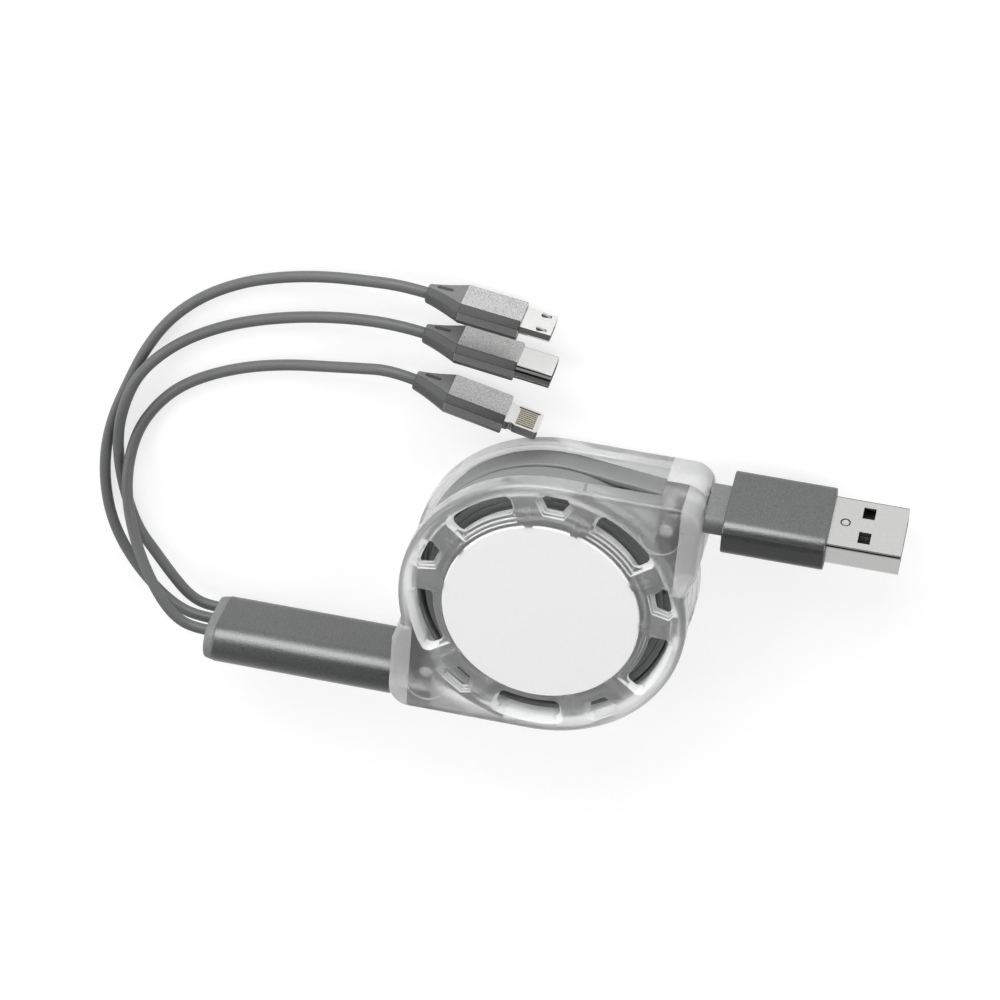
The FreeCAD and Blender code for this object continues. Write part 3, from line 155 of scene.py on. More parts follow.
# Share of the height and lift off the face of the slot's ovals
SLOT_SHARES = (1.0, 1.0, 0.94, 0.5)
SLOT_LIFTS = (-0.2, 0.02, 0.04, 0.04)
# Columns of a cut rectangle's outline that make its two wide faces and its two narrow sides
WIDE_COLUMNS = (11, 27)
NARROW_COLUMNS = (3, 19)

# Surfaces: steps round a circle and over a rounded end, and degrees past which an edge shows sharp
ROUND_STEPS = 48
END_STEPS = 5
CREASE_TURN = 38

# Copies of the frame's pieces: distances in metres, angles in degrees, reaches in roundings of an edge
MERGE_DISTANCE = 2e-6
CUT_DISTANCE = 1e-6
SHARP_TURN = 35
FOLD_TURN = 60
FOLD_AREA = 1e-11
FOLD_REACH = 1.5
UNFOLD_REACH = 1.4
UNFOLD_ROUNDS = 8
PLATED = "_plated"
SHADING = "frame_shading"
GRAIN = "surface_grain"

# Tip (x, y), turn and reach of each small plug
SMALL_PLUGS = {
    "micro": ((-4.15, 48.4), -8.0, 5.4),
    "type_c": ((-3.4, 40.25), -8.5, 6.2),
    "eight_pin": ((-5.0, 29.05), -13.0, 6.0),
}
PLUG_NODES = {
    "micro": ("relief", "grip", "shell", "latches", "insulator", "contacts"),
    "type_c": ("relief", "grip", "shell", "insulator", "contacts"),
    "eight_pin": ("relief", "grip", "blade", "contacts"),
}
# Plated tip of each small plug, with the painted shade of its faces past some degrees of slope
PLUG_TIPS = {
    "micro": ("shell", (("tip_flank_painted_shade", 45),)),
    "type_c": ("shell", (("tip_painted_shade", 15), ("tip_flank_painted_shade", 62))),
    "eight_pin": ("blade", (("tip_flank_painted_shade", 45),)),
}
PLUG_PIECES = ("_sleeve", "_strain_relief", "_slot_front", "_slot_back")

# Route of each round cord from the splitter to its plug
CORD_ROUTES = {
    "micro": (
        (-60.3, -21.8, 6.2), (-63.4, -21.8, 6.2), (-67.2, -20.9, 6.1), (-71.6, -18.6, 5.1),
        (-77.1, -14.1, 3.4), (-81.2, -8.1, 2.0), (-83.1, -1.3, 1.1), (-83.3, 6.3, 1.0), (-82.0, 13.7, 1.0),
        (-79.5, 20.8, 1.0), (-76.4, 28.6, 1.0), (-72.2, 35.6, 1.0), (-66.4, 41.3, 1.0), (-59.5, 45.4, 1.0),
        (-52.1, 48.0, 1.2), (-44.6, 49.9, 2.0), (-37.4, 51.1, 3.2),
        (-30.59, 52.116, 4.5), (-26.233, 51.504, 4.5),
    ),
    "type_c": (
        (-60.3, -21.8, 2.4), (-63.4, -21.8, 2.4), (-66.6, -20.3, 2.4), (-69.8, -17.1, 2.0),
        (-73.2, -13.2, 1.4), (-76.8, -8.9, 1.0), (-79.1, -2.7, 1.0), (-80.6, 4.3, 1.1), (-80.5, 12.0, 2.6),
        (-79.2, 18.5, 3.4), (-77.0, 24.5, 3.4), (-73.3, 28.9, 2.1), (-68.3, 32.8, 1.1), (-61.7, 36.5, 1.0),
        (-54.7, 39.1, 1.0), (-47.0, 41.4, 1.7), (-38.6, 43.3, 3.0),
        (-30.598, 44.315, 4.5), (-26.246, 43.664, 4.5),
    ),
    "eight_pin": (
        (-60.3, -21.8, 10.0), (-63.4, -21.8, 10.0), (-66.7, -20.5, 10.0), (-69.9, -17.4, 9.4),
        (-73.5, -12.5, 7.6), (-76.1, -8.0, 5.6), (-77.8, -3.0, 4.2), (-78.5, 2.5, 3.4), (-78.2, 7.9, 2.2),
        (-76.9, 12.9, 1.2), (-74.0, 17.9, 1.0), (-69.9, 22.5, 1.0), (-64.1, 26.2, 1.0), (-57.4, 29.0, 1.0),
        (-50.2, 30.9, 1.2), (-43.2, 32.4, 2.2), (-37.2, 33.9, 3.4),
        (-31.6, 35.191, 4.5), (-27.313, 34.201, 4.5),
    ),
}

# Axes of the camera in the frame, and the point that its middle looks at
VIEW_RIGHT = (0.9754, 0.0715, -0.2085)
VIEW_UP = (-0.172, 0.8383, -0.5175)
VIEW_BACK = (0.138, 0.541, 0.83)
VIEW_ANCHOR = (0.0, 0.0, 0.0174)
VIEW_OFFSET = (-0.006957, 0.019336)

# Stage: places and sizes in metres, power in watts
FLOOR_HEIGHT = -0.0002
FLOOR_SHADE = (0.35, 0.35, 0.35, 1.0)
FLOOR_GLOW = 0.72
BOUNCE_SHADE = (0.8, 0.8, 0.8, 1.0)
CARD_SHADE = (0.01, 0.01, 0.01, 1.0)
CARD_ASPECT = 1.5
CARD_BEHIND = 0.3
LAMP_TARGET = (0.0, 0.01, 0.008)
LAMPS = {
    "key_lamp": ((-0.213, 0.794, 0.366), (0.9, 0.62), 7.9),
    "left_lamp": ((-0.80, 0.02, 0.55), (0.5, 0.5), 2.6),
    "right_lamp": ((0.80, 0.02, 0.55), (0.5, 0.5), 2.6),
}
# Heights between which the sky darkens, and its strength below and above
SKY_HEIGHTS = (0.35, 0.75)
SKY_STRENGTHS = (0.65, 0.30)
WHITE = (1.0, 1.0, 1.0, 1.0)


# Sizes and colours


def length_setting(name, description, default):
    """Setting that holds a length in metres."""
    return bpy.props.FloatProperty(name=name, description=description, default=default, unit="LENGTH")


def share_setting(name, description, default):
    """Setting that holds a share between none and all."""
    return bpy.props.FloatProperty(
        name=name, description=description, default=default, min=0.0, max=1.0, subtype="FACTOR"
    )


def colour_setting(name, description, default):
    """Setting that holds a colour."""
    return bpy.props.FloatVectorProperty(
        name=name, description=description, default=default, size=3, subtype="COLOR"
    )


class CableSettings(bpy.types.PropertyGroup):
    """Flat cable and round cords."""

    width: length_setting("Flat cable width", "Width of the flat cable", 5.0 * MM)
    thickness: length_setting("Flat cable thickness", "Thickness of the flat cable", 1.3 * MM)
    edge: length_setting("Flat cable edge", "Rounding of the flat cable's edges", 0.45 * MM)
    diameter: length_setting("Cord diameter", "Diameter of the round cords", 2.0 * MM)
    jacket: colour_setting("Jacket", "Colour of the round cords' jacket", (0.115, 0.119, 0.116))
    # Painted light: the flat cable's jacket is lighter than the cords', against the shade between the covers
    flat_cable_painted_light: colour_setting("Flat jacket", "Colour of the flat cable's jacket", (0.22, 0.225, 0.222))


class ReelSettings(bpy.types.PropertyGroup):
    """Housing of the reel and what shows through it."""

    frost: colour_setting("Frosted plastic", "Tint of the frosted housing", (0.97, 0.975, 0.975))
    clearness: share_setting("Clearness", "Share of the light that passes the housing", 0.90)
    ear_clearness: share_setting("Ear clearness", "Share of the light that passes the thick ears", 0.62)
    # Painted light: the windows' walls get less clear, whiter plastic for the light that falls through them
    window_clearness: share_setting(
        "Window clearness", "Share of the light that passes the windows' walls", 0.35
    )
    # Painted shade: the front rim's plastic is darkened by this share
    rim_painted_shade_share: share_setting("Rim shade", "Tint of the front rim, as a share of the housing's", 0.78)
    edge: length_setting("Cover edge", "Rounding of the covers' edges", 0.15 * MM)
    face: colour_setting("Face disc", "Colour of the face disc", (0.87, 0.87, 0.87))


class PlugSettings(bpy.types.PropertyGroup):
    """Metal and moulded pieces of the plugs and the splitter."""

    sleeve_edge: length_setting("Sleeve edge", "Rounding at the large sleeves' ends", 0.3 * MM)
    grip_edge: length_setting("Grip edge", "Rounding of the small sleeves' edges", 0.16 * MM)
    anodised: colour_setting("Anodised metal", "Colour of the large sleeves", (0.15, 0.155, 0.152))
    # Painted shade: cut and side darken the small sleeves' chamfers and narrow sides against the blasted
    # metal
    cut: colour_setting("Cut metal", "Colour of the small sleeves' cut edges", (0.045, 0.046, 0.045))
    side: colour_setting("Side metal", "Colour of the small sleeves' narrow sides", (0.34, 0.345, 0.34))
    grip: colour_setting("Blasted metal", "Colour of the small sleeves", (0.52, 0.525, 0.52))


class StageSettings(bpy.types.PropertyGroup):
    """Floor, lamps and camera."""

    floor: length_setting("Floor size", "Length of the floor's sides", 6.0)
    card: length_setting("Card height", "Height of the black card behind the camera", 0.6)
    distance: length_setting("Camera distance", "Distance from the camera to the reel", 0.62)
    field: length_setting("Field", "Width of the picture at the reel", 0.1724)


# Outlines and surfaces


def eased_outline(corners, radius, steps):
    """Closed outline with rounded corners.

    Each corner gives way to an arc that touches both sides: its centre lies on the corner's bisector,
    the radius over the sine of half the angle away, and its points turn evenly from side to side.
    """
    corners = np.asarray(corners, float)
    radius = np.broadcast_to(np.asarray(radius, float), len(corners))
    back = np.roll(corners, 1, 0) - corners
    ahead = np.roll(corners, -1, 0) - corners
    back /= np.linalg.norm(back, axis=1)[:, None]
    ahead /= np.linalg.norm(ahead, axis=1)[:, None]
    half = np.arccos(np.clip((back * ahead).sum(1), -1, 1)) / 2
    bisector = back + ahead
    bisector /= np.linalg.norm(bisector, axis=1)[:, None]
    centre = corners + bisector * (radius / np.sin(half))[:, None]
    cut = (radius / np.tan(half))[:, None]
    first = corners + back * cut - centre
    last = corners + ahead * cut - centre
    start = np.arctan2(first[:, 1], first[:, 0])
    sweep = np.arctan2(last[:, 1], last[:, 0]) - start
    sweep = (sweep + np.pi) % (2 * np.pi) - np.pi
    angle = start[:, None] + sweep[:, None] * np.linspace(0, 1, steps + 1)
    arcs = centre[:, None] + radius[:, None, None] * np.stack([np.cos(angle), np.sin(angle)], -1)
    return arcs.reshape(-1, 2)


def rectangle(thickness, width, inset=0.0):
    """Corners of a rectangle, thickness by width, drawn in by an inset."""
    y, z = thickness / 2 - inset, width / 2 - inset
    return [(y, z), (-y, z), (-y, -z), (y, -z)]


def cut_rectangle(thickness, width, chamfer, inset=0.0):
    """Corners of a rectangle with cut corners, drawn in by an inset that keeps the cuts' slope."""
    y, z = thickness / 2 - inset, width / 2 - inset
    cut = chamfer - inset * (2 - np.sqrt(2))
    return [
        (y - cut, z), (cut - y, z), (-y, z - cut), (-y, cut - z),
        (cut - y, -z), (y - cut, -z), (y, cut - z), (y, z - cut),
    ]


def eased_end(x, edge, inward):
    """Stations (x, inset) of a rounded end: a quarter circle from the end face to the side.

    The step along X is the radius times one less the sine, the inset the radius times one less the cosine.
    """
    angle = np.linspace(0, np.pi / 2, END_STEPS + 1)
    return np.column_stack([x + inward * edge * (1 - np.sin(angle)), edge * (1 - np.cos(angle))])[::-1]


def set_at(x, loop):
    """Points of an outline, set across the X axis at a place."""
    return np.column_stack([np.full(len(loop), x), loop])


def carried(stations, outline):
    """Rows of points: the outline, drawn in by each station's inset, set at the station's x."""
    return np.array([set_at(x, outline(inset)) for x, inset in stations])


def grid_quads(rows, columns, closed_rows, closed_columns):
    """Corner numbers of the quads between the points of a grid that may close on itself."""
    r = np.arange(rows if closed_rows else rows - 1)[:, None]
    c = np.arange(columns if closed_columns else columns - 1)[None, :]
    down, across = (r + 1) % rows, (c + 1) % columns
    corners = (r * columns + c, r * columns + across, down * columns + across, down * columns + c)
    return np.stack(corners, -1).reshape(-1, 4)


def new_object(name, data):
    """Object on some data, put into the scene."""
    made = bpy.data.objects.new(name, data)
    bpy.context.collection.objects.link(made)
    return made


@contextmanager
def edited(mesh):
    """Mesh as editable parts, written back at the end."""
    work = bmesh.new()
    work.from_mesh(mesh)
    yield work
    work.to_mesh(mesh)
    work.free()


def read_rows(parts, label, size=3, kind=float):
    """Values of one label over a mesh's parts, a row for each part."""
    values = np.empty(len(parts) * size, kind)
    parts.foreach_get(label, values)
    return values.reshape(-1, size)


def surface_piece(name, points, closed_rows=False, closed_columns=True):
    """Mesh object on a grid of points in metres, with a tube's open ends capped and its faces outwards."""
    rows, columns = points.shape[:2]
    faces = grid_quads(rows, columns, closed_rows, closed_columns).tolist()
    if closed_columns and not closed_rows:
        faces.append(list(range(columns)))
        faces.append(list(range((rows - 1) * columns, rows * columns)))
    mesh = bpy.data.meshes.new(name)
    mesh.from_pydata(points.reshape(-1, 3).tolist(), [], faces)
    with edited(mesh) as work:
        bmesh.ops.recalc_face_normals(work, faces=work.faces)
    mesh.shade_smooth()
    mesh.set_sharp_from_angle(angle=np.radians(CREASE_TURN))
    return new_object(name, mesh)


def dressed(piece, body, slot, *nodes, finish=None):
    """Piece with its finish, its slot's own or another, its body and the frame's nodes that it stands for."""
    piece.data.materials.append(finish_of(finish or slot))
    if body:
        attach(piece, body)
    if nodes:
        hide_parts(*nodes)
    return piece


def on_axis(points, turn_axis, angle, place):
    """Points in millimetres, turned about an axis, set at a place and put into metres."""
    turn = np.array(Matrix.Rotation(np.radians(angle), 3, turn_axis))
    return (points @ turn.T + np.asarray(place, float)) * MM


def on_usb_axis(points):
    """Points of the USB-A plug, leaned on its axis at the mouth's line."""
    return on_axis(points, "X", PLUG_LEAN, (0.0, MOUTH_Y, MID))


def on_splitter_axis(points):
    """Points of the splitter, on its line."""
    return on_axis(points, "X", 0.0, (0.0, SPLITTER_Y, MID))


def on_plug_axis(points, plug):
    """Points of a small plug, built from its cord's end, turned and set at its tip's place."""
    (x, y), turn, reach = SMALL_PLUGS[plug]
    length = RELIEF_LENGTH + GRIP_LENGTH + reach
    angle = np.radians(turn)
    place = (x - length * np.cos(angle), y - length * np.sin(angle), GRIP_WIDTH / 2)
    return on_axis(points, "Z", turn, place)


# Finishes


def link(tree, source, target):
    """Link from one socket to another."""
    tree.links.new(source, target)


def new_node(tree, kind, *values, **named):
    """Shader node of a kind, with values or links for its inputs, in order or by name."""
    node = tree.nodes.new("ShaderNode" + kind)
    given = list(zip(node.inputs, values)) + [(node.inputs[label], value) for label, value in named.items()]
    for socket, value in given:
        if isinstance(value, bpy.types.NodeSocket):
            link(tree, value, socket)
        else:
            socket.default_value = value
    return node


def math_node(tree, operation, first, second):
    """Output of a math node on two values or sockets."""
    node = new_node(tree, "Math", first, second)
    node.operation = operation
    return node.outputs[0]


def noise_node(tree, vector, scale, detail, roughness):
    """Output of a noise texture on a vector."""
    node = new_node(tree, "TexNoise", Vector=vector, Scale=scale, Detail=detail, Roughness=roughness)
    return node.outputs["Fac"]


def ranged(tree, value, low, high, to_low, to_high):
    """Output of a map range node with clamped ends."""
    return new_node(tree, "MapRange", value, low, high, to_low, to_high).outputs[0]


def grain_group():
    """Grain: fine noise with a broad drift, as a colour between two, a roughness and a height.

    Stretch is how many times longer the grain runs along X than across it.
    """
    tree = bpy.data.node_groups.new(GRAIN, "ShaderNodeTree")
    sockets = {
        "INPUT": {"Color": ("Dark", "Light"), "Float": ("Scale", "Drift", "Smooth", "Rough", "Stretch")},
        "OUTPUT": {"Color": ("Color",), "Float": ("Roughness", "Height")},
    }
    for way, kinds in sockets.items():
        for kind, labels in kinds.items():
            for label in labels:
                tree.interface.new_socket(label, in_out=way, socket_type="NodeSocket" + kind)
    start, end = tree.nodes.new("NodeGroupInput"), tree.nodes.new("NodeGroupOutput")
    given = start.outputs
    apart = new_node(tree, "SeparateXYZ", new_node(tree, "TexCoord").outputs["Object"]).outputs
    along = math_node(tree, "DIVIDE", apart["X"], given["Stretch"])
    place = new_node(tree, "CombineXYZ", along, apart["Y"], apart["Z"]).outputs[0]
    fine = noise_node(tree, place, given["Scale"], 2.0, 0.6)
    broad = noise_node(tree, place, math_node(tree, "MULTIPLY", given["Scale"], 0.06), 3.0, 0.5)
    grain = ranged(tree, fine, 0.32, 0.68, 0.0, 1.0)
    drift = ranged(tree, broad, 0.35, 0.65, -0.5, 0.5)
    mixed = math_node(tree, "ADD", grain, math_node(tree, "MULTIPLY", drift, given["Drift"]))
    blend = tree.nodes.new("ShaderNodeMix")
    blend.data_type = "RGBA"
    for label, source in (("Factor", mixed), ("A", given["Dark"]), ("B", given["Light"])):
        link(tree, source, blend.inputs[label])
    link(tree, blend.outputs["Result"], end.inputs["Color"])
    link(tree, ranged(tree, mixed, 0.0, 1.0, given["Smooth"], given["Rough"]), end.inputs["Roughness"])
    link(tree, mixed, end.inputs["Height"])
    return tree


def shaded(colour, factor):
    """Colour times a factor, with full alpha."""
    return tuple(min(1.0, channel * factor) for channel in colour[:3]) + (1.0,)


def grained(name, colour, spread, scale, rough, bump, plain=(), drift=0.25, stretch=1.0):
    """Material with grain: two shades of a colour, a range of roughness, and a bump of a depth in metres."""
    material = bpy.data.materials.new(name)
    material.use_nodes = True
    tree = material.node_tree
    shader = tree.nodes["Principled BSDF"]
    group = tree.nodes.new("ShaderNodeGroup")
    group.node_tree = bpy.data.node_groups.get(GRAIN) or grain_group()
    values = {
        "Dark": shaded(colour, 1 - spread), "Light": shaded(colour, 1 + spread), "Scale": scale,
        "Drift": drift, "Smooth": rough[0], "Rough": rough[1], "Stretch": stretch,
    }
    for label, value in values.items():
        group.inputs[label].default_value = value
    link(tree, group.outputs["Color"], shader.inputs["Base Color"])
    link(tree, group.outputs["Roughness"], shader.inputs["Roughness"])
    relief = new_node(tree, "Bump", Distance=bump, Strength=1.0, Height=group.outputs["Height"])
    link(tree, relief.outputs["Normal"], shader.inputs["Normal"])
    for label, value in dict(plain).items():
        shader.inputs[label].default_value = value
    return material


def jacket_finishes(cable):
    """Jackets of the round cords and of the flat cable, the flat cable's lighter as painted light against the
    shade between the covers.
    """
    return {
        "cable_jacket": grained("jacket_grey", cable.jacket, 0.07, 3500.0, (0.40, 0.52), 4e-6),
        "flat_cable_painted_light": grained("jacket_painted_light", cable.flat_cable_painted_light, 0.06, 3500.0, (0.30, 0.42), 3e-6),
    }


def frosted(name, colour, rough, clearness, coat=(), spread=0.03, bump=6e-6, drift=0.5):
    """Frosted plastic that lets a share of the light through."""
    plain = {"Transmission Weight": clearness, "IOR": 1.46, **dict(coat)}
    return grained(name, colour, spread, 900.0, rough, bump, plain, drift)


def housing_finishes(reel):
    """Frosted plastic of the covers, their ears, windows' walls made whiter as painted light and rim darkened
    as painted shade, the face disc and the spool.
    """
    coat = {"Coat Weight": 0.6, "Coat Roughness": 0.15}
    # Painted shade: the front rim is a darker copy of the frost
    rim = shaded(reel.frost, reel.rim_painted_shade_share)
    satin = (0.30, 0.44)
    return {
        "clear_plastic": frosted("frosted_clear", reel.frost, satin, reel.clearness, coat),
        "milky_plastic": frosted("frosted_milky", reel.frost, (0.34, 0.48), reel.ear_clearness),
        # Painted light: whiter, less clear plastic on the windows' walls
        "wall_plastic_painted_light": frosted(
            "white_wall_painted_light", reel.frost, (0.40, 0.55), reel.window_clearness,
            spread=0.02, bump=4e-6, drift=0.3,
        ),
        "front_rim_painted_shade": frosted("rim_frost_painted_shade", rim, satin, reel.clearness, coat),
        "face_plastic": grained("face_pale", reel.face, 0.008, 1500.0, (0.42, 0.52), 1e-6),
        "spool_plastic": grained("spool_pale", (0.62, 0.63, 0.63), 0.04, 1200.0, (0.40, 0.55), 4e-6),
    }


def sleeve_finishes(plug):
    """Anodised metal of the large sleeves, with painted shade on the USB-A sleeve's narrow sides, and blasted
    metal of the small ones, with painted shade on their cut corners and narrow sides.
    """
    # Painted shade: darker anodised metal for the USB-A sleeve's narrow sides
    side = shaded(plug.anodised, 0.62)
    satin, brushed = {"Metallic": 0.85}, {"Metallic": 0.9}
    return {
        "anodised_metal": grained(
            "sleeve_anodised", plug.anodised, 0.20, 4600.0, (0.28, 0.40), 1.5e-5, satin, 0.08
        ),
        "anodised_flank_painted_shade": grained("sleeve_flank_painted_shade", side, 0.16, 4600.0, (0.28, 0.40), 1e-5, satin, 0.08),
        "grip_metal": grained("grip_blasted", plug.grip, 0.42, 5000.0, (0.26, 0.42), 1.4e-5, brushed, 0.05),
        # Painted shade: darker metal for the small sleeves' chamfers and narrow sides
        "chamfer_painted_shade": grained("grip_chamfer_painted_shade", plug.cut, 0.06, 5200.0, (0.26, 0.34), 1e-6, {"IOR": 1.3}, 0.05),
        "narrow_metal_painted_shade": grained("grip_narrow_painted_shade", plug.side, 0.08, 5200.0, (0.28, 0.38), 2e-6, brushed, 0.05),
    }


def moulded_finishes():
    """Moulded plastic of the reliefs with painted shade on their chamfers, narrow sides and ends, the caps,
    the cores, and the slots' near-black painted shade.
    """
    return {
        "cap_plastic": grained(
            "relief_grey", (0.155, 0.159, 0.156), 0.22, 4600.0, (0.38, 0.52), 8e-6, drift=0.05
        ),
        "pale_cap": grained("cap_grey", (0.18, 0.186, 0.183), 0.20, 4600.0, (0.40, 0.55), 6e-6, drift=0.08),
        # Painted shade: darker plastic for the reliefs' chamfers, narrow sides and ends
        "relief_painted_shade": grained(
            "dark_relief_painted_shade", (0.075, 0.077, 0.076), 0.10, 4600.0, (0.40, 0.50), 3e-6, {"IOR": 1.3}
        ),
        "dark_plastic": grained("core_black", (0.018, 0.018, 0.018), 0.15, 2600.0, (0.35, 0.5), 4e-6),
        # Painted shade: the slots' near-black recess
        "slot_painted_shade": grained("dark_slot_painted_shade", (0.030, 0.031, 0.030), 0.1, 4200.0, (0.45, 0.55), 3e-6),
    }


def plated_finishes():
    """Nickel of the shells and tips with painted shade on their sides and edges and a painted highlight on
    the USB-A shell's narrow sides, spring steel and gilt contacts.
    """

    def plated(name, colour, spread, scale, rough, bump, drift, stretch=1.0):
        return grained(name, colour, spread, scale, rough, bump, {"Metallic": 1.0}, drift, stretch)

    return {
        "nickel": plated("shell_nickel", (0.58, 0.58, 0.575), 0.015, 2500.0, (0.20, 0.28), 1e-7, 0.3),
        # Painted highlight: lighter nickel for the USB-A shell's narrow sides
        "shell_flank_painted_highlight": plated("bright_shell_painted_highlight", (0.92, 0.92, 0.91), 0.015, 2500.0, (0.20, 0.28), 1e-7, 0.3),
        "tip_nickel": plated("tip_bright", (0.80, 0.80, 0.79), 0.04, 4000.0, (0.14, 0.24), 5e-7, 0.1),
        # Painted shade: darker nickel for the tips' sides and edges
        "tip_flank_painted_shade": plated("grey_tip_painted_shade", (0.30, 0.30, 0.295), 0.05, 4000.0, (0.18, 0.28), 5e-7, 0.1),
        "tip_painted_shade": plated("dark_tip_painted_shade", (0.05, 0.05, 0.05), 0.05, 4000.0, (0.16, 0.24), 5e-7, 0.1),
        "steel": plated("spring_steel", (0.50, 0.50, 0.49), 0.08, 4200.0, (0.22, 0.34), 1e-6, 0.25, 6.0),
        "gold": plated("contact_gold", (0.50, 0.47, 0.40), 0.06, 4200.0, (0.18, 0.28), 1e-6, 0.25),
    }


def all_finishes(scene):
    """Materials by the name of the record's slot, with some for single pieces or parts of them."""
    return {
        **jacket_finishes(scene.cable_sizes), **housing_finishes(scene.cable_reel),
        **sleeve_finishes(scene.cable_plugs), **moulded_finishes(), **plated_finishes(),
    }


def finish_of(slot):
    """Finish that was made for one of the record's slots."""
    return bpy.data.materials[FINISH_NAMES[slot]]


FINISH_NAMES = {}
OWN_FINISH = {"usb_boot": "pale_cap"}


class CABLE_OT_finishes(bpy.types.Operator):
    """Make the finishes and put each on the frame's own pieces"""

    bl_idname = "cable.finishes"
    bl_label = "Finishes"

    def execute(self, context):
        for slot, material in all_finishes(context.scene).items():
            FINISH_NAMES[slot] = material.name
        slots = {row["node"]: row["material_slot"] for row in frame["record"]["subparts"]}
        for name, node in frame["nodes"].items():
            node.material_slots[0].material = finish_of(OWN_FINISH.get(name, slots[name]))
        return {"FINISHED"}


# Pieces


def finish_faces(piece, numbers, *finishes):
    """Give a piece further finishes, and each of its faces the finish of its number."""
    for finish in finishes:
        piece.data.materials.append(finish_of(finish))
    piece.data.polygons.foreach_set("material_index", np.asarray(numbers).astype(np.int32))


def cord_piece(name, points, diameter):
    """Round cord: a curve of the third order, led by its route's points, with a round section."""
    curve = bpy.data.curves.new(name, "CURVE")
    curve.dimensions = "3D"
    spline = curve.splines.new("NURBS")
    spline.points.add(len(points) - 1)
    spline.points.foreach_set("co", np.column_stack([points, np.ones(len(points))]).ravel())
    spline.order_u = 3
    spline.use_endpoint_u = True
    curve.resolution_u = 10
    curve.bevel_depth = diameter / 2
    curve.bevel_resolution = 5
    curve.use_fill_caps = True
    return new_object(name, curve)


class CABLE_OT_cords(bpy.types.Operator):
    """Lay the three round cords from the splitter to the small plugs"""

    bl_idname = "cable.cords"
    bl_label = "Round cords"

    def execute(self, context):
        diameter = context.scene.cable_sizes.diameter
        for plug, route in CORD_ROUTES.items():
            points = np.asarray(route) * MM
            piece = cord_piece(plug + "_jacket", points, diameter)
            dressed(piece, "splitter_end", "cable_jacket", plug + "_cord")
            on_cord = [frame["nodes"][plug + "_" + part] for part in PLUG_NODES[plug]]
            on_cord += [bpy.data.objects[plug + part] for part in PLUG_PIECES]
            on_cord.append(bpy.data.objects[plug + "_" + PLUG_TIPS[plug][0] + PLATED])
        return {"FINISHED"}


def strip_outline(cable, ease=1.0):
    """Outline of the flat cable's section in millimetres, with a share of its edge rounding."""
    return eased_outline(rectangle(cable.thickness / MM, cable.width / MM), cable.edge / MM * ease, 4)


def spiral_strip(cable, height):
    """Wound flat cable: the section on a spiral whose radius grows by one thickness each turn."""
    first = WINDING_INNER + cable.thickness / MM / 2
    last = WINDING_OUTER - cable.thickness / MM / 2
    turns = (last - first) / (cable.thickness / MM)
    angle = np.linspace(0, 2 * np.pi * turns, int(ROWS_PER_TURN * turns))[:, None]
    section = strip_outline(cable, WOUND_EASE)
    radius = first + (last - first) * angle / angle[-1] + section[:, 0]
    z = np.broadcast_to(height + section[:, 1], radius.shape)
    return np.stack([radius * np.cos(angle), radius * np.sin(angle), z], -1)


def lead_strip(cable, height, mouth_height):
    """Outermost turn and its run: the section carried round a circle, then along the tangent to the mouth.

    The run slants in plan by the angle between the mouth's bearing and the tangent's, and its height goes
    evenly from the tier's to the mouth's.
    """
    reach = np.hypot(EAR_REACH, MOUTH_Y)
    slope = np.arctan2(EAR_REACH, MOUTH_Y) - np.arccos(LEAD_RADIUS / reach)
    leave = np.pi / 2 - slope
    wrap = np.linspace(leave + np.radians(LEAD_WRAP), leave, LEAD_WRAP_ROWS)
    start_x, start_y = LEAD_RADIUS * np.cos(leave), LEAD_RADIUS * np.sin(leave)
    still = np.linspace(start_x, RUN_BENDS, RUN_ROWS[0])[1:]
    run_x = np.append(still, np.linspace(RUN_BENDS, EAR_REACH, RUN_ROWS[1])[1:])
    share = (run_x - start_x) / (EAR_REACH - start_x)
    centre_x = np.append(LEAD_RADIUS * np.cos(wrap), run_x)
    centre_y = np.append(LEAD_RADIUS * np.sin(wrap), start_y + share * (MOUTH_Y - start_y))
    bearing = np.append(wrap, np.full(len(run_x), leave))
    rise = np.append(np.zeros(len(wrap)), share) * (mouth_height - height)
    section = strip_outline(cable)
    x = centre_x[:, None] + np.cos(bearing)[:, None] * section[:, 0]
    y = centre_y[:, None] + np.sin(bearing)[:, None] * section[:, 0]
    z = height + rise[:, None] + section[:, 1]
    return np.stack([x, y, z], -1)


class CABLE_OT_flat_cable(bpy.types.Operator):
    """Wind the two tiers of flat cable and run their leads out of the mouths"""

    bl_idname = "cable.flat_cable"
    bl_label = "Flat cable"

    def execute(self, context):
        cable = context.scene.cable_sizes
        for side, height in (("usb", REAR_TIER_MIDDLE), ("splitter", FRONT_TIER_MIDDLE)):
            turns = surface_piece(side + "_turns", spiral_strip(cable, height) * MM)
            # Painted light: the flat cable gets the lighter jacket
            dressed(turns, "spool", "cable_jacket", side + "_winding", finish="flat_cable_painted_light")
        leads = (
            ("usb", 1, REAR_TIER_MIDDLE, USB_MOUTH_HEIGHT),
            ("splitter", -1, FRONT_TIER_MIDDLE, SPLITTER_MOUTH_HEIGHT),
        )
        for side, sign, height, mouth_height in leads:
            points = lead_strip(cable, height, mouth_height) * MM * np.array([sign, sign, 1])
            turn = surface_piece(side + "_outer_turn", points[:LEAD_WRAP_ROWS])
            dressed(turn, "housing", "cable_jacket", finish="flat_cable_painted_light")
            strip = surface_piece(side + "_strip", points[LEAD_WRAP_ROWS - 1:])
            dressed(strip, None, "cable_jacket", side + "_lead", finish="flat_cable_painted_light")
            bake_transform(strip)
        return {"FINISHED"}


def usb_outline(inset):
    """Section of the USB-A sleeve, a rounded rectangle drawn in by an inset."""
    corners = rectangle(USB_SLEEVE_THICKNESS, USB_SLEEVE_WIDTH, inset)
    return eased_outline(corners, USB_SLEEVE_ROUNDING - inset, 10)


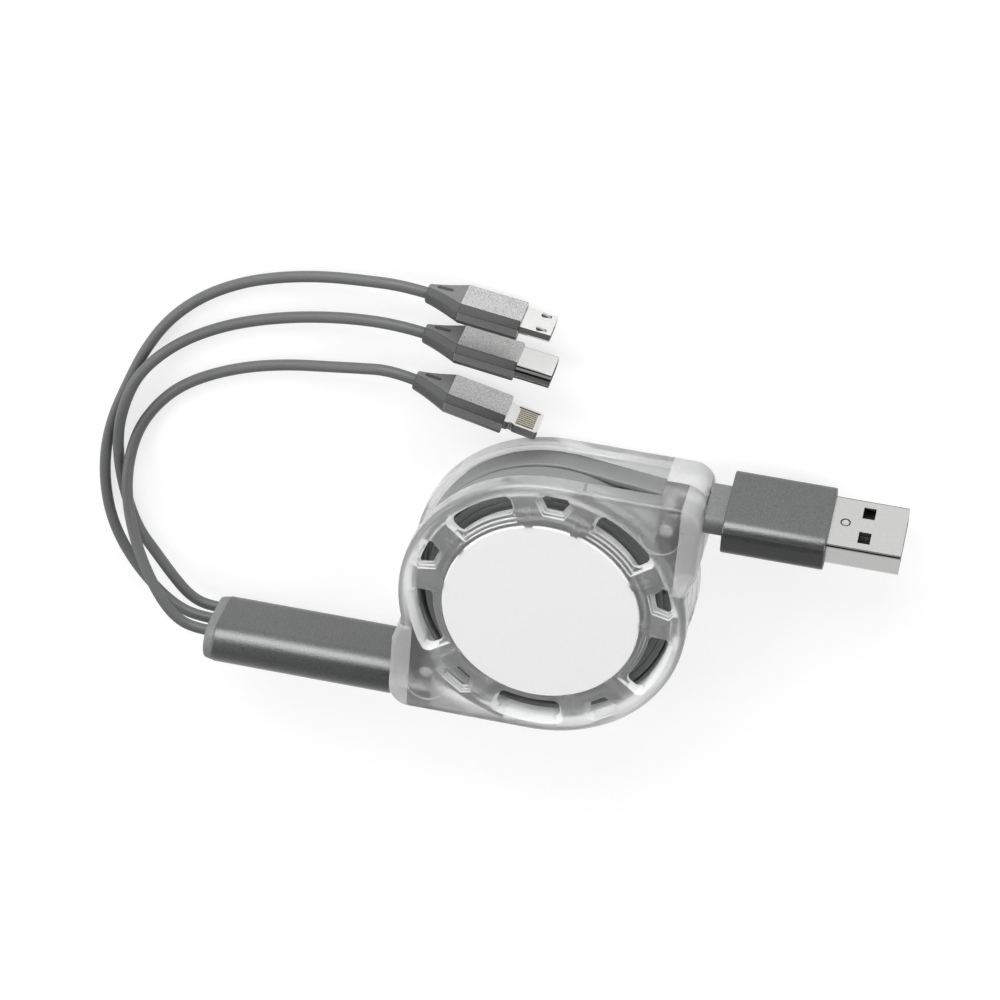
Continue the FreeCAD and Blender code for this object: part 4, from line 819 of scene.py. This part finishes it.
def oval_outline(inset):
    """Section of the splitter, a rectangle with round ends drawn in by an inset."""
    corners = rectangle(SPLITTER_THICKNESS, SPLITTER_WIDTH, inset)
    return eased_outline(corners, (SPLITTER_THICKNESS / 2 - inset) * OVAL_SHARE, 16)


def sleeve_rows(x0, x1, edge, outline):
    """Rows of a tube with rounded ends: out over the rear edge, along the side, in over the front edge."""
    rear = eased_end(x0, edge, 1.0)
    front = eased_end(x1, edge, -1.0)[::-1]
    return carried(np.concatenate([[(x0, SLEEVE_WALL)], rear, front, [(x1, SLEEVE_WALL)]]), outline)


def dimple_rows():
    """Rows of the bowl in the shell's wide face: rings whose depth falls with the square of the radius.

    They start at the seat's floor, come up to the rim and go in to the middle.
    """
    angle = np.linspace(0, 2 * np.pi, ROUND_STEPS, endpoint=False)
    rim, middle = DIMPLE_SHARES
    share = np.append(rim, np.linspace(rim, middle, DIMPLE_RINGS))[:, None]
    drop = DIMPLE_DEPTH * np.append(1.0, 1 - np.linspace(1.0, 0.0, DIMPLE_RINGS) ** 2)[:, None]
    x = DIMPLE_PLACE + DIMPLE_RADIUS * share * np.cos(angle)
    z = DIMPLE_RADIUS * share * np.sin(angle)
    return np.stack([x, SHELL_FACE - drop + 0 * x, z], -1)


class CABLE_OT_sleeves(bpy.types.Operator):
    """Make the two large anodised sleeves, the splitter's cap and the bowl in the USB-A plug's shell"""

    bl_idname = "cable.sleeves"
    bl_label = "Large sleeves"

    def execute(self, context):
        edge = context.scene.cable_plugs.sleeve_edge / MM
        self.usb_tube(edge)
        self.bowl()
        self.splitter(edge * SPLITTER_EDGE_SHARE)
        return {"FINISHED"}

    def usb_tube(self, edge):
        """Make the USB-A sleeve, with painted shade on its narrow sides."""
        rows = sleeve_rows(USB_SLEEVE_START, USB_SLEEVE_END, edge, usb_outline)
        sleeve = surface_piece("usb_tube", on_usb_axis(rows), closed_rows=True)
        dressed(sleeve, "usb_end", "anodised_metal", "usb_sleeve")
        column = np.tile(np.arange(rows.shape[1]), len(rows))
        # Painted shade on the sleeve's narrow sides
        finish_faces(sleeve, np.isin(column, USB_PAINTED_SHADE_COLUMNS), "anodised_flank_painted_shade")

    def bowl(self):
        """Make the bowl in the USB-A plug's shell, with painted shade in rings at its rim."""
        rows = dimple_rows()
        bowl = surface_piece("usb_dimple", on_usb_axis(rows))
        dressed(bowl, "usb_end", "nickel")
        # Painted shade: the bowl's outer rings get dark nickel
        dark = np.repeat(np.arange(len(rows) - 1) < DIMPLE_PAINTED_SHADE_RINGS, rows.shape[1])
        finish_faces(bowl, np.append(dark, [True, False]), "tip_painted_shade")

    def splitter(self, edge):
        """Make the splitter's sleeve and the cap on its cord side."""
        rows = sleeve_rows(SPLITTER_END + SPLITTER_CAP, -EAR_REACH, edge, oval_outline)
        tube = surface_piece("splitter_tube", on_splitter_axis(rows), closed_rows=True)
        dressed(tube, "splitter_end", "anodised_metal", "splitter_sleeve")
        rows = carried(np.array(CAP_STATIONS) + (SPLITTER_END, 0.0), oval_outline)
        cap = surface_piece("splitter_end_cap", on_splitter_axis(rows))
        dressed(cap, "splitter_end", "cap_plastic", "splitter_cord_cap", finish="pale_cap")


def folded_corners(piece, plain, reach):
    """Corners of a rounded piece's faces that turn too far from every plain face within reach."""
    bpy.context.view_layer.update()
    done = piece.evaluated_get(bpy.context.evaluated_depsgraph_get()).data
    corners = []
    for face in done.polygons:
        nearby = plain.find_nearest_range(face.center, reach)
        alike = max((face.normal.dot(normal) for _, normal, _, _ in nearby), default=0.0)
        if alike < np.cos(np.radians(FOLD_TURN)) and face.area > FOLD_AREA:
            corners += [done.vertices[number].co[:] for number in face.vertices]
    return np.array(corners)


def unfold(piece, edge):
    """Take the rounding off the edges beside folded faces, in rounds, until no face is folded."""
    mesh = piece.data
    work = bmesh.new()
    work.from_mesh(mesh)
    plain = BVHTree.FromBMesh(work)
    work.free()
    ends = read_rows(mesh.edges, "vertices", 2, np.int32)
    first, last = read_rows(mesh.vertices, "co")[ends].transpose(1, 0, 2)
    held = mesh.attributes["bevel_weight_edge"].data
    weight = read_rows(held, "value", 1, np.float32).ravel()
    for _ in range(UNFOLD_ROUNDS):
        corners = folded_corners(piece, plain, edge * FOLD_REACH)
        if not len(corners):
            break
        rounded = np.flatnonzero(weight)
        for place in (first, last, (first + last) / 2):
            apart = np.linalg.norm(place[rounded, None] - corners, axis=2).min(1)
            weight[rounded[apart < edge * UNFOLD_REACH]] = 0.0
        held.foreach_set("value", weight)
        mesh.update()


def merged_copy(name, node):
    """Copy of one of the frame's pieces, with its points merged and no finish.

    The shading of the frame's piece is kept as an attribute of the corners.
    """
    source = frame["nodes"][node]
    mesh = source.data.copy()
    mesh.name = name
    turn = np.array(source.matrix_world.to_3x3(), np.float32)
    normals = read_rows(mesh.corner_normals, "vector", kind=np.float32) @ turn.T
    mesh.attributes.new(SHADING, "FLOAT_VECTOR", "CORNER").data.foreach_set("vector", normals.ravel())
    with edited(mesh) as work:
        work.transform(source.matrix_world)
        bmesh.ops.remove_doubles(work, verts=work.verts, dist=MERGE_DISTANCE)
    mesh.materials.clear()
    mesh.shade_smooth()
    return new_object(name, mesh)


def softened_copy(name, node, edge, cuts):
    """Copy of one of the frame's pieces: faces cut at planes, sharp edges rounded by a bevel.

    A cut is the number of an axis and a place on it in millimetres. An edge is rounded if it is sharp, is
    longer than the rounding and meets one other sharp edge at both ends.
    """
    piece = merged_copy(name, node)
    turn = np.radians(SHARP_TURN)
    with edited(piece.data) as work:
        for axis, place in cuts:
            across = np.eye(3)[axis]
            parts = work.verts[:] + work.edges[:] + work.faces[:]
            bmesh.ops.bisect_plane(
                work, geom=parts, dist=CUT_DISTANCE, plane_co=across * place * MM, plane_no=across
            )
        weight = work.edges.layers.float.new("bevel_weight_edge")
        sharp = {line for line in work.edges if line.is_manifold and line.calc_face_angle() > turn}
        for line in sharp:
            runs_on = all(sum(other in sharp for other in end.link_edges) == 2 for end in line.verts)
            line[weight] = float(runs_on and line.calc_length() > edge)
    bevel = piece.modifiers.new("rounded_edges", "BEVEL")
    bevel.width = edge
    bevel.segments = 2
    bevel.limit_method = "WEIGHT"
    bevel.use_clamp_overlap = False
    bevel.loop_slide = False
    unfold(piece, edge)
    flat = piece.modifiers.new("flat_faces", "WEIGHTED_NORMAL")
    flat.mode = "FACE_AREA_WITH_ANGLE"
    flat.weight = 80
    return piece


class CABLE_OT_covers(bpy.types.Operator):
    """Soften the edges of the two frosted covers"""

    bl_idname = "cable.covers"
    bl_label = "Frosted covers"

    def execute(self, context):
        edge = context.scene.cable_reel.edge
        for side in ("front", "rear"):
            start = EAR_STARTS[side]
            cuts = ((0, start), (0, -start), (1, EAR_FOOT), (1, -EAR_FOOT))
            cover = softened_copy(side + "_shell", side + "_cover", edge, cuts)
            dressed(cover, "housing", "clear_plastic", side + "_cover")
            numbers = self.finish_numbers(cover.data.polygons, start)
            finish_faces(cover, numbers, "milky_plastic", "wall_plastic_painted_light", "front_rim_painted_shade")
        return {"FINISHED"}

    def finish_numbers(self, faces, ear_start):
        """Number of each face's finish: the plate's, the ears', the windows' walls' with painted light, or
        the front rim's with painted shade.
        """
        x, y, z = read_rows(faces, "center").T / MM
        out_x, out_y, up = read_rows(faces, "normal").T
        radius = np.hypot(x, y)
        inner, outer = WINDOW_RADII
        ears = (np.abs(x) > ear_start) & (np.abs(y) > EAR_FOOT) & (x * y > 0)
        walls = (radius > inner) & (radius < outer) & (np.abs(up) < WALL_STEEP) & (np.abs(z - MID) < MID)
        rim = (radius > outer) & (x * out_x + y * out_y > RIM_TURN * radius) & (z > MID)
        return np.select([ears, walls, rim], [1, 2, 3], 0)


def finish_by_slope(piece, turn, steps):
    """Give a piece's faces further finishes, painted shade and painted highlight, where they slope more than
    some degrees from its wide faces.

    The wide faces point along Y, turned about an axis by an angle.
    """
    axis, angle = turn
    across = np.array(Matrix.Rotation(np.radians(angle), 3, axis))[:, 1]
    normals = read_rows(piece.data.polygons, "normal")
    slope = np.degrees(np.arccos(np.clip(np.abs(normals @ across), 0, 1)))
    numbers = sum(slope > least for _, least in steps)
    finish_faces(piece, numbers, *(finish for finish, _ in steps))


class CABLE_OT_tips(bpy.types.Operator):
    """Plate the plugs' shells and blade, with painted shade on their edges and sides and a painted highlight
    on the USB-A shell's narrow sides
    """

    bl_idname = "cable.tips"
    bl_label = "Plated tips"

    def execute(self, context):
        self.plate("usb_shell", "usb_end", ("X", PLUG_LEAN), "nickel", SHELL_STEPS)
        for plug, (part, steps) in PLUG_TIPS.items():
            turn = ("Z", SMALL_PLUGS[plug][1])
            self.plate(plug + "_" + part, "splitter_end", turn, "tip_nickel", steps)
        return {"FINISHED"}

    def plate(self, node, body, turn, finish, steps):
        """Make the plated copy of one node, with the node's own shading."""
        tip = merged_copy(node + PLATED, node)
        shading = tip.data.attributes[SHADING].data
        tip.data.normals_split_custom_set(read_rows(shading, "vector", kind=np.float32))
        dressed(tip, body, "nickel", node, finish=finish)
        finish_by_slope(tip, turn, steps)


def relief_size(share):
    """Thickness, width and corner cut of a relief at a share of its length, flaring to the sleeve."""
    width = RELIEF_END + (GRIP_WIDTH - RELIEF_SETBACK - RELIEF_END) * share ** RELIEF_FLARE
    thickness = RELIEF_END + (GRIP_THICKNESS - RELIEF_SETBACK - RELIEF_END) * share
    return thickness, width, RELIEF_END_CHAMFER + (GRIP_CHAMFER - RELIEF_END_CHAMFER) * share


def relief_rows():
    """Rows of a strain relief: a rounded end, then cut rectangles that flare along its length.

    The width grows by a power of the share of the length, the thickness and the corners evenly.
    """
    lip = eased_end(0.0, RELIEF_LIP, 1.0)
    flare = np.linspace(RELIEF_LIP, RELIEF_LENGTH, RELIEF_ROWS)[1:]
    stations = np.concatenate([lip, np.column_stack([flare, np.zeros(len(flare))])])
    rows = []
    for x, inset in stations:
        loop = eased_outline(cut_rectangle(*relief_size(x / RELIEF_LENGTH), inset), RELIEF_EDGE, 3)
        rows.append(set_at(x, loop))
    return np.array(rows)


def slot_rows(side):
    """Rows of the slot in a relief's wide face, a near-black oval of painted shade for its recess: ovals with
    straight sides, on the flaring face.

    They start inside the relief, come out by a hair and close on a flat oval.
    """
    angle = np.linspace(0, 2 * np.pi, ROUND_STEPS, endpoint=False)
    half = SLOT_LENGTH / 2 - SLOT_HEIGHT / 2
    across = np.array(SLOT_SHARES)[:, None] * SLOT_HEIGHT / 2
    lift = np.array(SLOT_LIFTS)[:, None]
    x = SLOT_PLACE + half * np.sign(np.cos(angle)) * np.minimum(1, 4 * np.abs(np.cos(angle)))
    x = x + across * np.cos(angle)
    face = relief_size(x / RELIEF_LENGTH)[0] / 2
    return np.stack([x, side * (face + lift), across * np.sin(angle) - SLOT_DROP], -1)


def by_sides(piece, rows, cut, narrow):
    """Give the cut corners and ends of a piece on cut rectangles one finish, and its narrow sides another,
    both darker as painted shade.
    """
    column = np.tile(np.arange(rows.shape[1]), len(rows) - 1)
    numbers = 1 - np.isin(column, WIDE_COLUMNS) + np.isin(column, NARROW_COLUMNS)
    finish_faces(piece, np.append(numbers, [1, 1]), cut, narrow)


class CABLE_OT_grips(bpy.types.Operator):
    """Make the chamfered metal sleeves of the small plugs and their flaring reliefs"""

    bl_idname = "cable.grips"
    bl_label = "Small sleeves"

    def execute(self, context):
        edge = context.scene.cable_plugs.grip_edge / MM

        def outline(inset):
            corners = cut_rectangle(GRIP_THICKNESS, GRIP_WIDTH, GRIP_CHAMFER, inset)
            return eased_outline(corners, edge, 3)

        start, end = RELIEF_LENGTH, RELIEF_LENGTH + GRIP_LENGTH
        rear = eased_end(start, edge, 1.0)
        front = eased_end(end, edge * GRIP_FRONT_SHARE, -1.0)[::-1]
        mouth = [(end - depth, inset) for depth, inset in GRIP_MOUTH]
        rows = carried(np.concatenate([rear, front, mouth]), outline)
        flare = relief_rows()
        for plug in SMALL_PLUGS:
            sleeve = surface_piece(plug + "_sleeve", on_plug_axis(rows, plug))
            dressed(sleeve, "splitter_end", "grip_metal", plug + "_grip")
            # Painted shade: chamfers, ends and narrow sides get darker metal than the wide faces
            by_sides(sleeve, rows, "chamfer_painted_shade", "narrow_metal_painted_shade")
            relief = surface_piece(plug + "_strain_relief", on_plug_axis(flare, plug))
            dressed(relief, "splitter_end", "cap_plastic", plug + "_relief")
            # Painted shade: the relief's chamfers, narrow sides and ends get darker plastic than its wide
            # faces
            by_sides(relief, flare, "relief_painted_shade", "relief_painted_shade")
            for name, side in (("_slot_front", 1), ("_slot_back", -1)):
                slot = surface_piece(plug + name, on_plug_axis(slot_rows(side), plug))
                # Painted shade: a near-black oval stands in for the slot's shaded recess
                dressed(slot, "splitter_end", "dark_plastic", finish="slot_painted_shade")
        return {"FINISHED"}


# Stage


def area_lamp(name, place, size, power):
    """Lamp with two sides at a place, turned to the reel."""
    lamp = bpy.data.lights.new(name, "AREA")
    lamp.shape = "RECTANGLE"
    lamp.size, lamp.size_y = size
    lamp.energy = power
    holder = new_object(name, lamp)
    holder.location = place
    holder.rotation_euler = (Vector(place) - Vector(LAMP_TARGET)).to_track_quat("Z", "Y").to_euler()


def floor_material():
    """White ground that keeps soft shadows: some of its white is given off where it is seen, the rest lit."""
    material = bpy.data.materials.new("stage_white")
    material.use_nodes = True
    tree = material.node_tree
    tree.nodes.remove(tree.nodes["Principled BSDF"])
    rays = new_node(tree, "LightPath").outputs
    seen = math_node(tree, "ADD", rays["Is Camera Ray"], rays["Is Glossy Ray"])
    seen = math_node(tree, "ADD", seen, rays["Is Transmission Ray"])
    seen = math_node(tree, "MINIMUM", seen, 1.0)
    lit = new_node(tree, "BsdfDiffuse", Color=FLOOR_SHADE).outputs[0]
    glow = new_node(tree, "Emission", Color=WHITE, Strength=FLOOR_GLOW).outputs[0]
    both = new_node(tree, "AddShader", lit, glow).outputs[0]
    plain = new_node(tree, "BsdfDiffuse", Color=BOUNCE_SHADE).outputs[0]
    chosen = new_node(tree, "MixShader", seen, plain, both).outputs[0]
    link(tree, chosen, tree.nodes["Material Output"].inputs["Surface"])
    return material


class CABLE_OT_stage(bpy.types.Operator):
    """Set the floor, the soft lamps, the world and the camera"""

    bl_idname = "cable.stage"
    bl_label = "Stage"

    def execute(self, context):
        stage = context.scene.cable_stage
        self.lay_floor(stage)
        for name, (place, size, power) in LAMPS.items():
            area_lamp(name, place, size, power)
        self.hang_card(stage)
        self.set_world(context)
        self.place_camera(context, stage)
        context.scene.view_settings.view_transform = "Standard"
        return {"FINISHED"}

    def sheet(self, name, middle, right, up, material):
        """Set a flat sheet, given its middle and half of each of its sides."""
        sides = np.array([-1.0, 1.0])[:, None]
        points = middle + sides[:, None] * right + sides * up
        piece = surface_piece(name, points, closed_columns=False)
        piece.data.materials.append(material)

    def lay_floor(self, stage):
        """Lay a square floor just below the object."""
        right, up, back = np.eye(3)
        half = stage.floor / 2
        self.sheet("stage_floor", back * FLOOR_HEIGHT, right * half, up * half, floor_material())

    def hang_card(self, stage):
        """Hang a black card behind the camera, square to the view, so that edges turned there show dark."""
        right, up, back = np.array([VIEW_RIGHT, VIEW_UP, VIEW_BACK])
        half = stage.card / 2
        black = bpy.data.materials.new("stage_black")
        black.use_nodes = True
        black.node_tree.nodes["Principled BSDF"].inputs["Base Color"].default_value = CARD_SHADE
        middle = back * (stage.distance + CARD_BEHIND)
        self.sheet("stage_card", middle, right * half * CARD_ASPECT, up * half, black)

    def set_world(self, context):
        """Set a white world, plain where the camera sees it and else darker towards the top."""
        world = bpy.data.worlds.new("studio")
        context.scene.world = world
        world.use_nodes = True
        tree = world.node_tree
        back = tree.nodes["Background"]
        back.inputs["Color"].default_value = WHITE
        place = new_node(tree, "TexCoord").outputs["Generated"]
        height = new_node(tree, "SeparateXYZ", place).outputs["Z"]
        sky = ranged(tree, height, *SKY_HEIGHTS, *SKY_STRENGTHS)
        seen = new_node(tree, "LightPath").outputs["Is Camera Ray"]
        link(tree, ranged(tree, seen, 0.0, 1.0, sky, 1.0), back.inputs["Strength"])

    def place_camera(self, context, stage):
        """Set the camera square to the view axes, at its distance from the middle of the picture."""
        right, up, back = (Vector(axis) for axis in (VIEW_RIGHT, VIEW_UP, VIEW_BACK))
        middle = Vector(VIEW_ANCHOR) + right * VIEW_OFFSET[0] + up * VIEW_OFFSET[1]
        lens = bpy.data.cameras.new("view_camera")
        lens.sensor_width = 36.0
        lens.lens = lens.sensor_width * stage.distance / stage.field
        lens.clip_start = 0.01
        camera = new_object("view_camera", lens)
        turn = Matrix((right, up, back)).transposed().to_4x4()
        camera.matrix_world = Matrix.Translation(middle + back * stage.distance) @ turn
        context.scene.camera = camera


class CABLE_PT_panel(bpy.types.Panel):
    """Pieces and settings of the charging cable"""

    bl_label = "Charging cable"
    bl_idname = "CABLE_PT_panel"
    bl_space_type = "VIEW_3D"
    bl_region_type = "UI"
    bl_category = "Cable"

    def draw(self, context):
        for operator in OPERATORS:
            self.layout.operator(operator.bl_idname)
        for holder in SETTINGS:
            group = getattr(context.scene, holder)
            for name in group.__annotations__:
                self.layout.prop(group, name)


SETTINGS = {
    "cable_sizes": CableSettings,
    "cable_reel": ReelSettings,
    "cable_plugs": PlugSettings,
    "cable_stage": StageSettings,
}
OPERATORS = (
    CABLE_OT_finishes, CABLE_OT_flat_cable, CABLE_OT_covers, CABLE_OT_sleeves, CABLE_OT_grips, CABLE_OT_tips,
    CABLE_OT_cords, CABLE_OT_stage,
)


def register():
    """Register the settings, the operators and the panel."""
    for holder, settings in SETTINGS.items():
        bpy.utils.register_class(settings)
        setattr(bpy.types.Scene, holder, bpy.props.PointerProperty(type=settings))
    for cls in OPERATORS + (CABLE_PT_panel,):
        bpy.utils.register_class(cls)


def unregister():
    """Take the panel, the operators and the settings away again."""
    for cls in reversed(OPERATORS + (CABLE_PT_panel,)):
        bpy.utils.unregister_class(cls)
    for holder, settings in reversed(SETTINGS.items()):
        delattr(bpy.types.Scene, holder)
        bpy.utils.unregister_class(settings)


def main():
    """Register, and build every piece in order."""
    register()
    bpy.ops.cable.finishes()
    bpy.ops.cable.flat_cable()
    bpy.ops.cable.covers()
    bpy.ops.cable.sleeves()
    bpy.ops.cable.grips()
    bpy.ops.cable.tips()
    bpy.ops.cable.cords()
    bpy.ops.cable.stage()


if __name__ == "__main__":
    main()
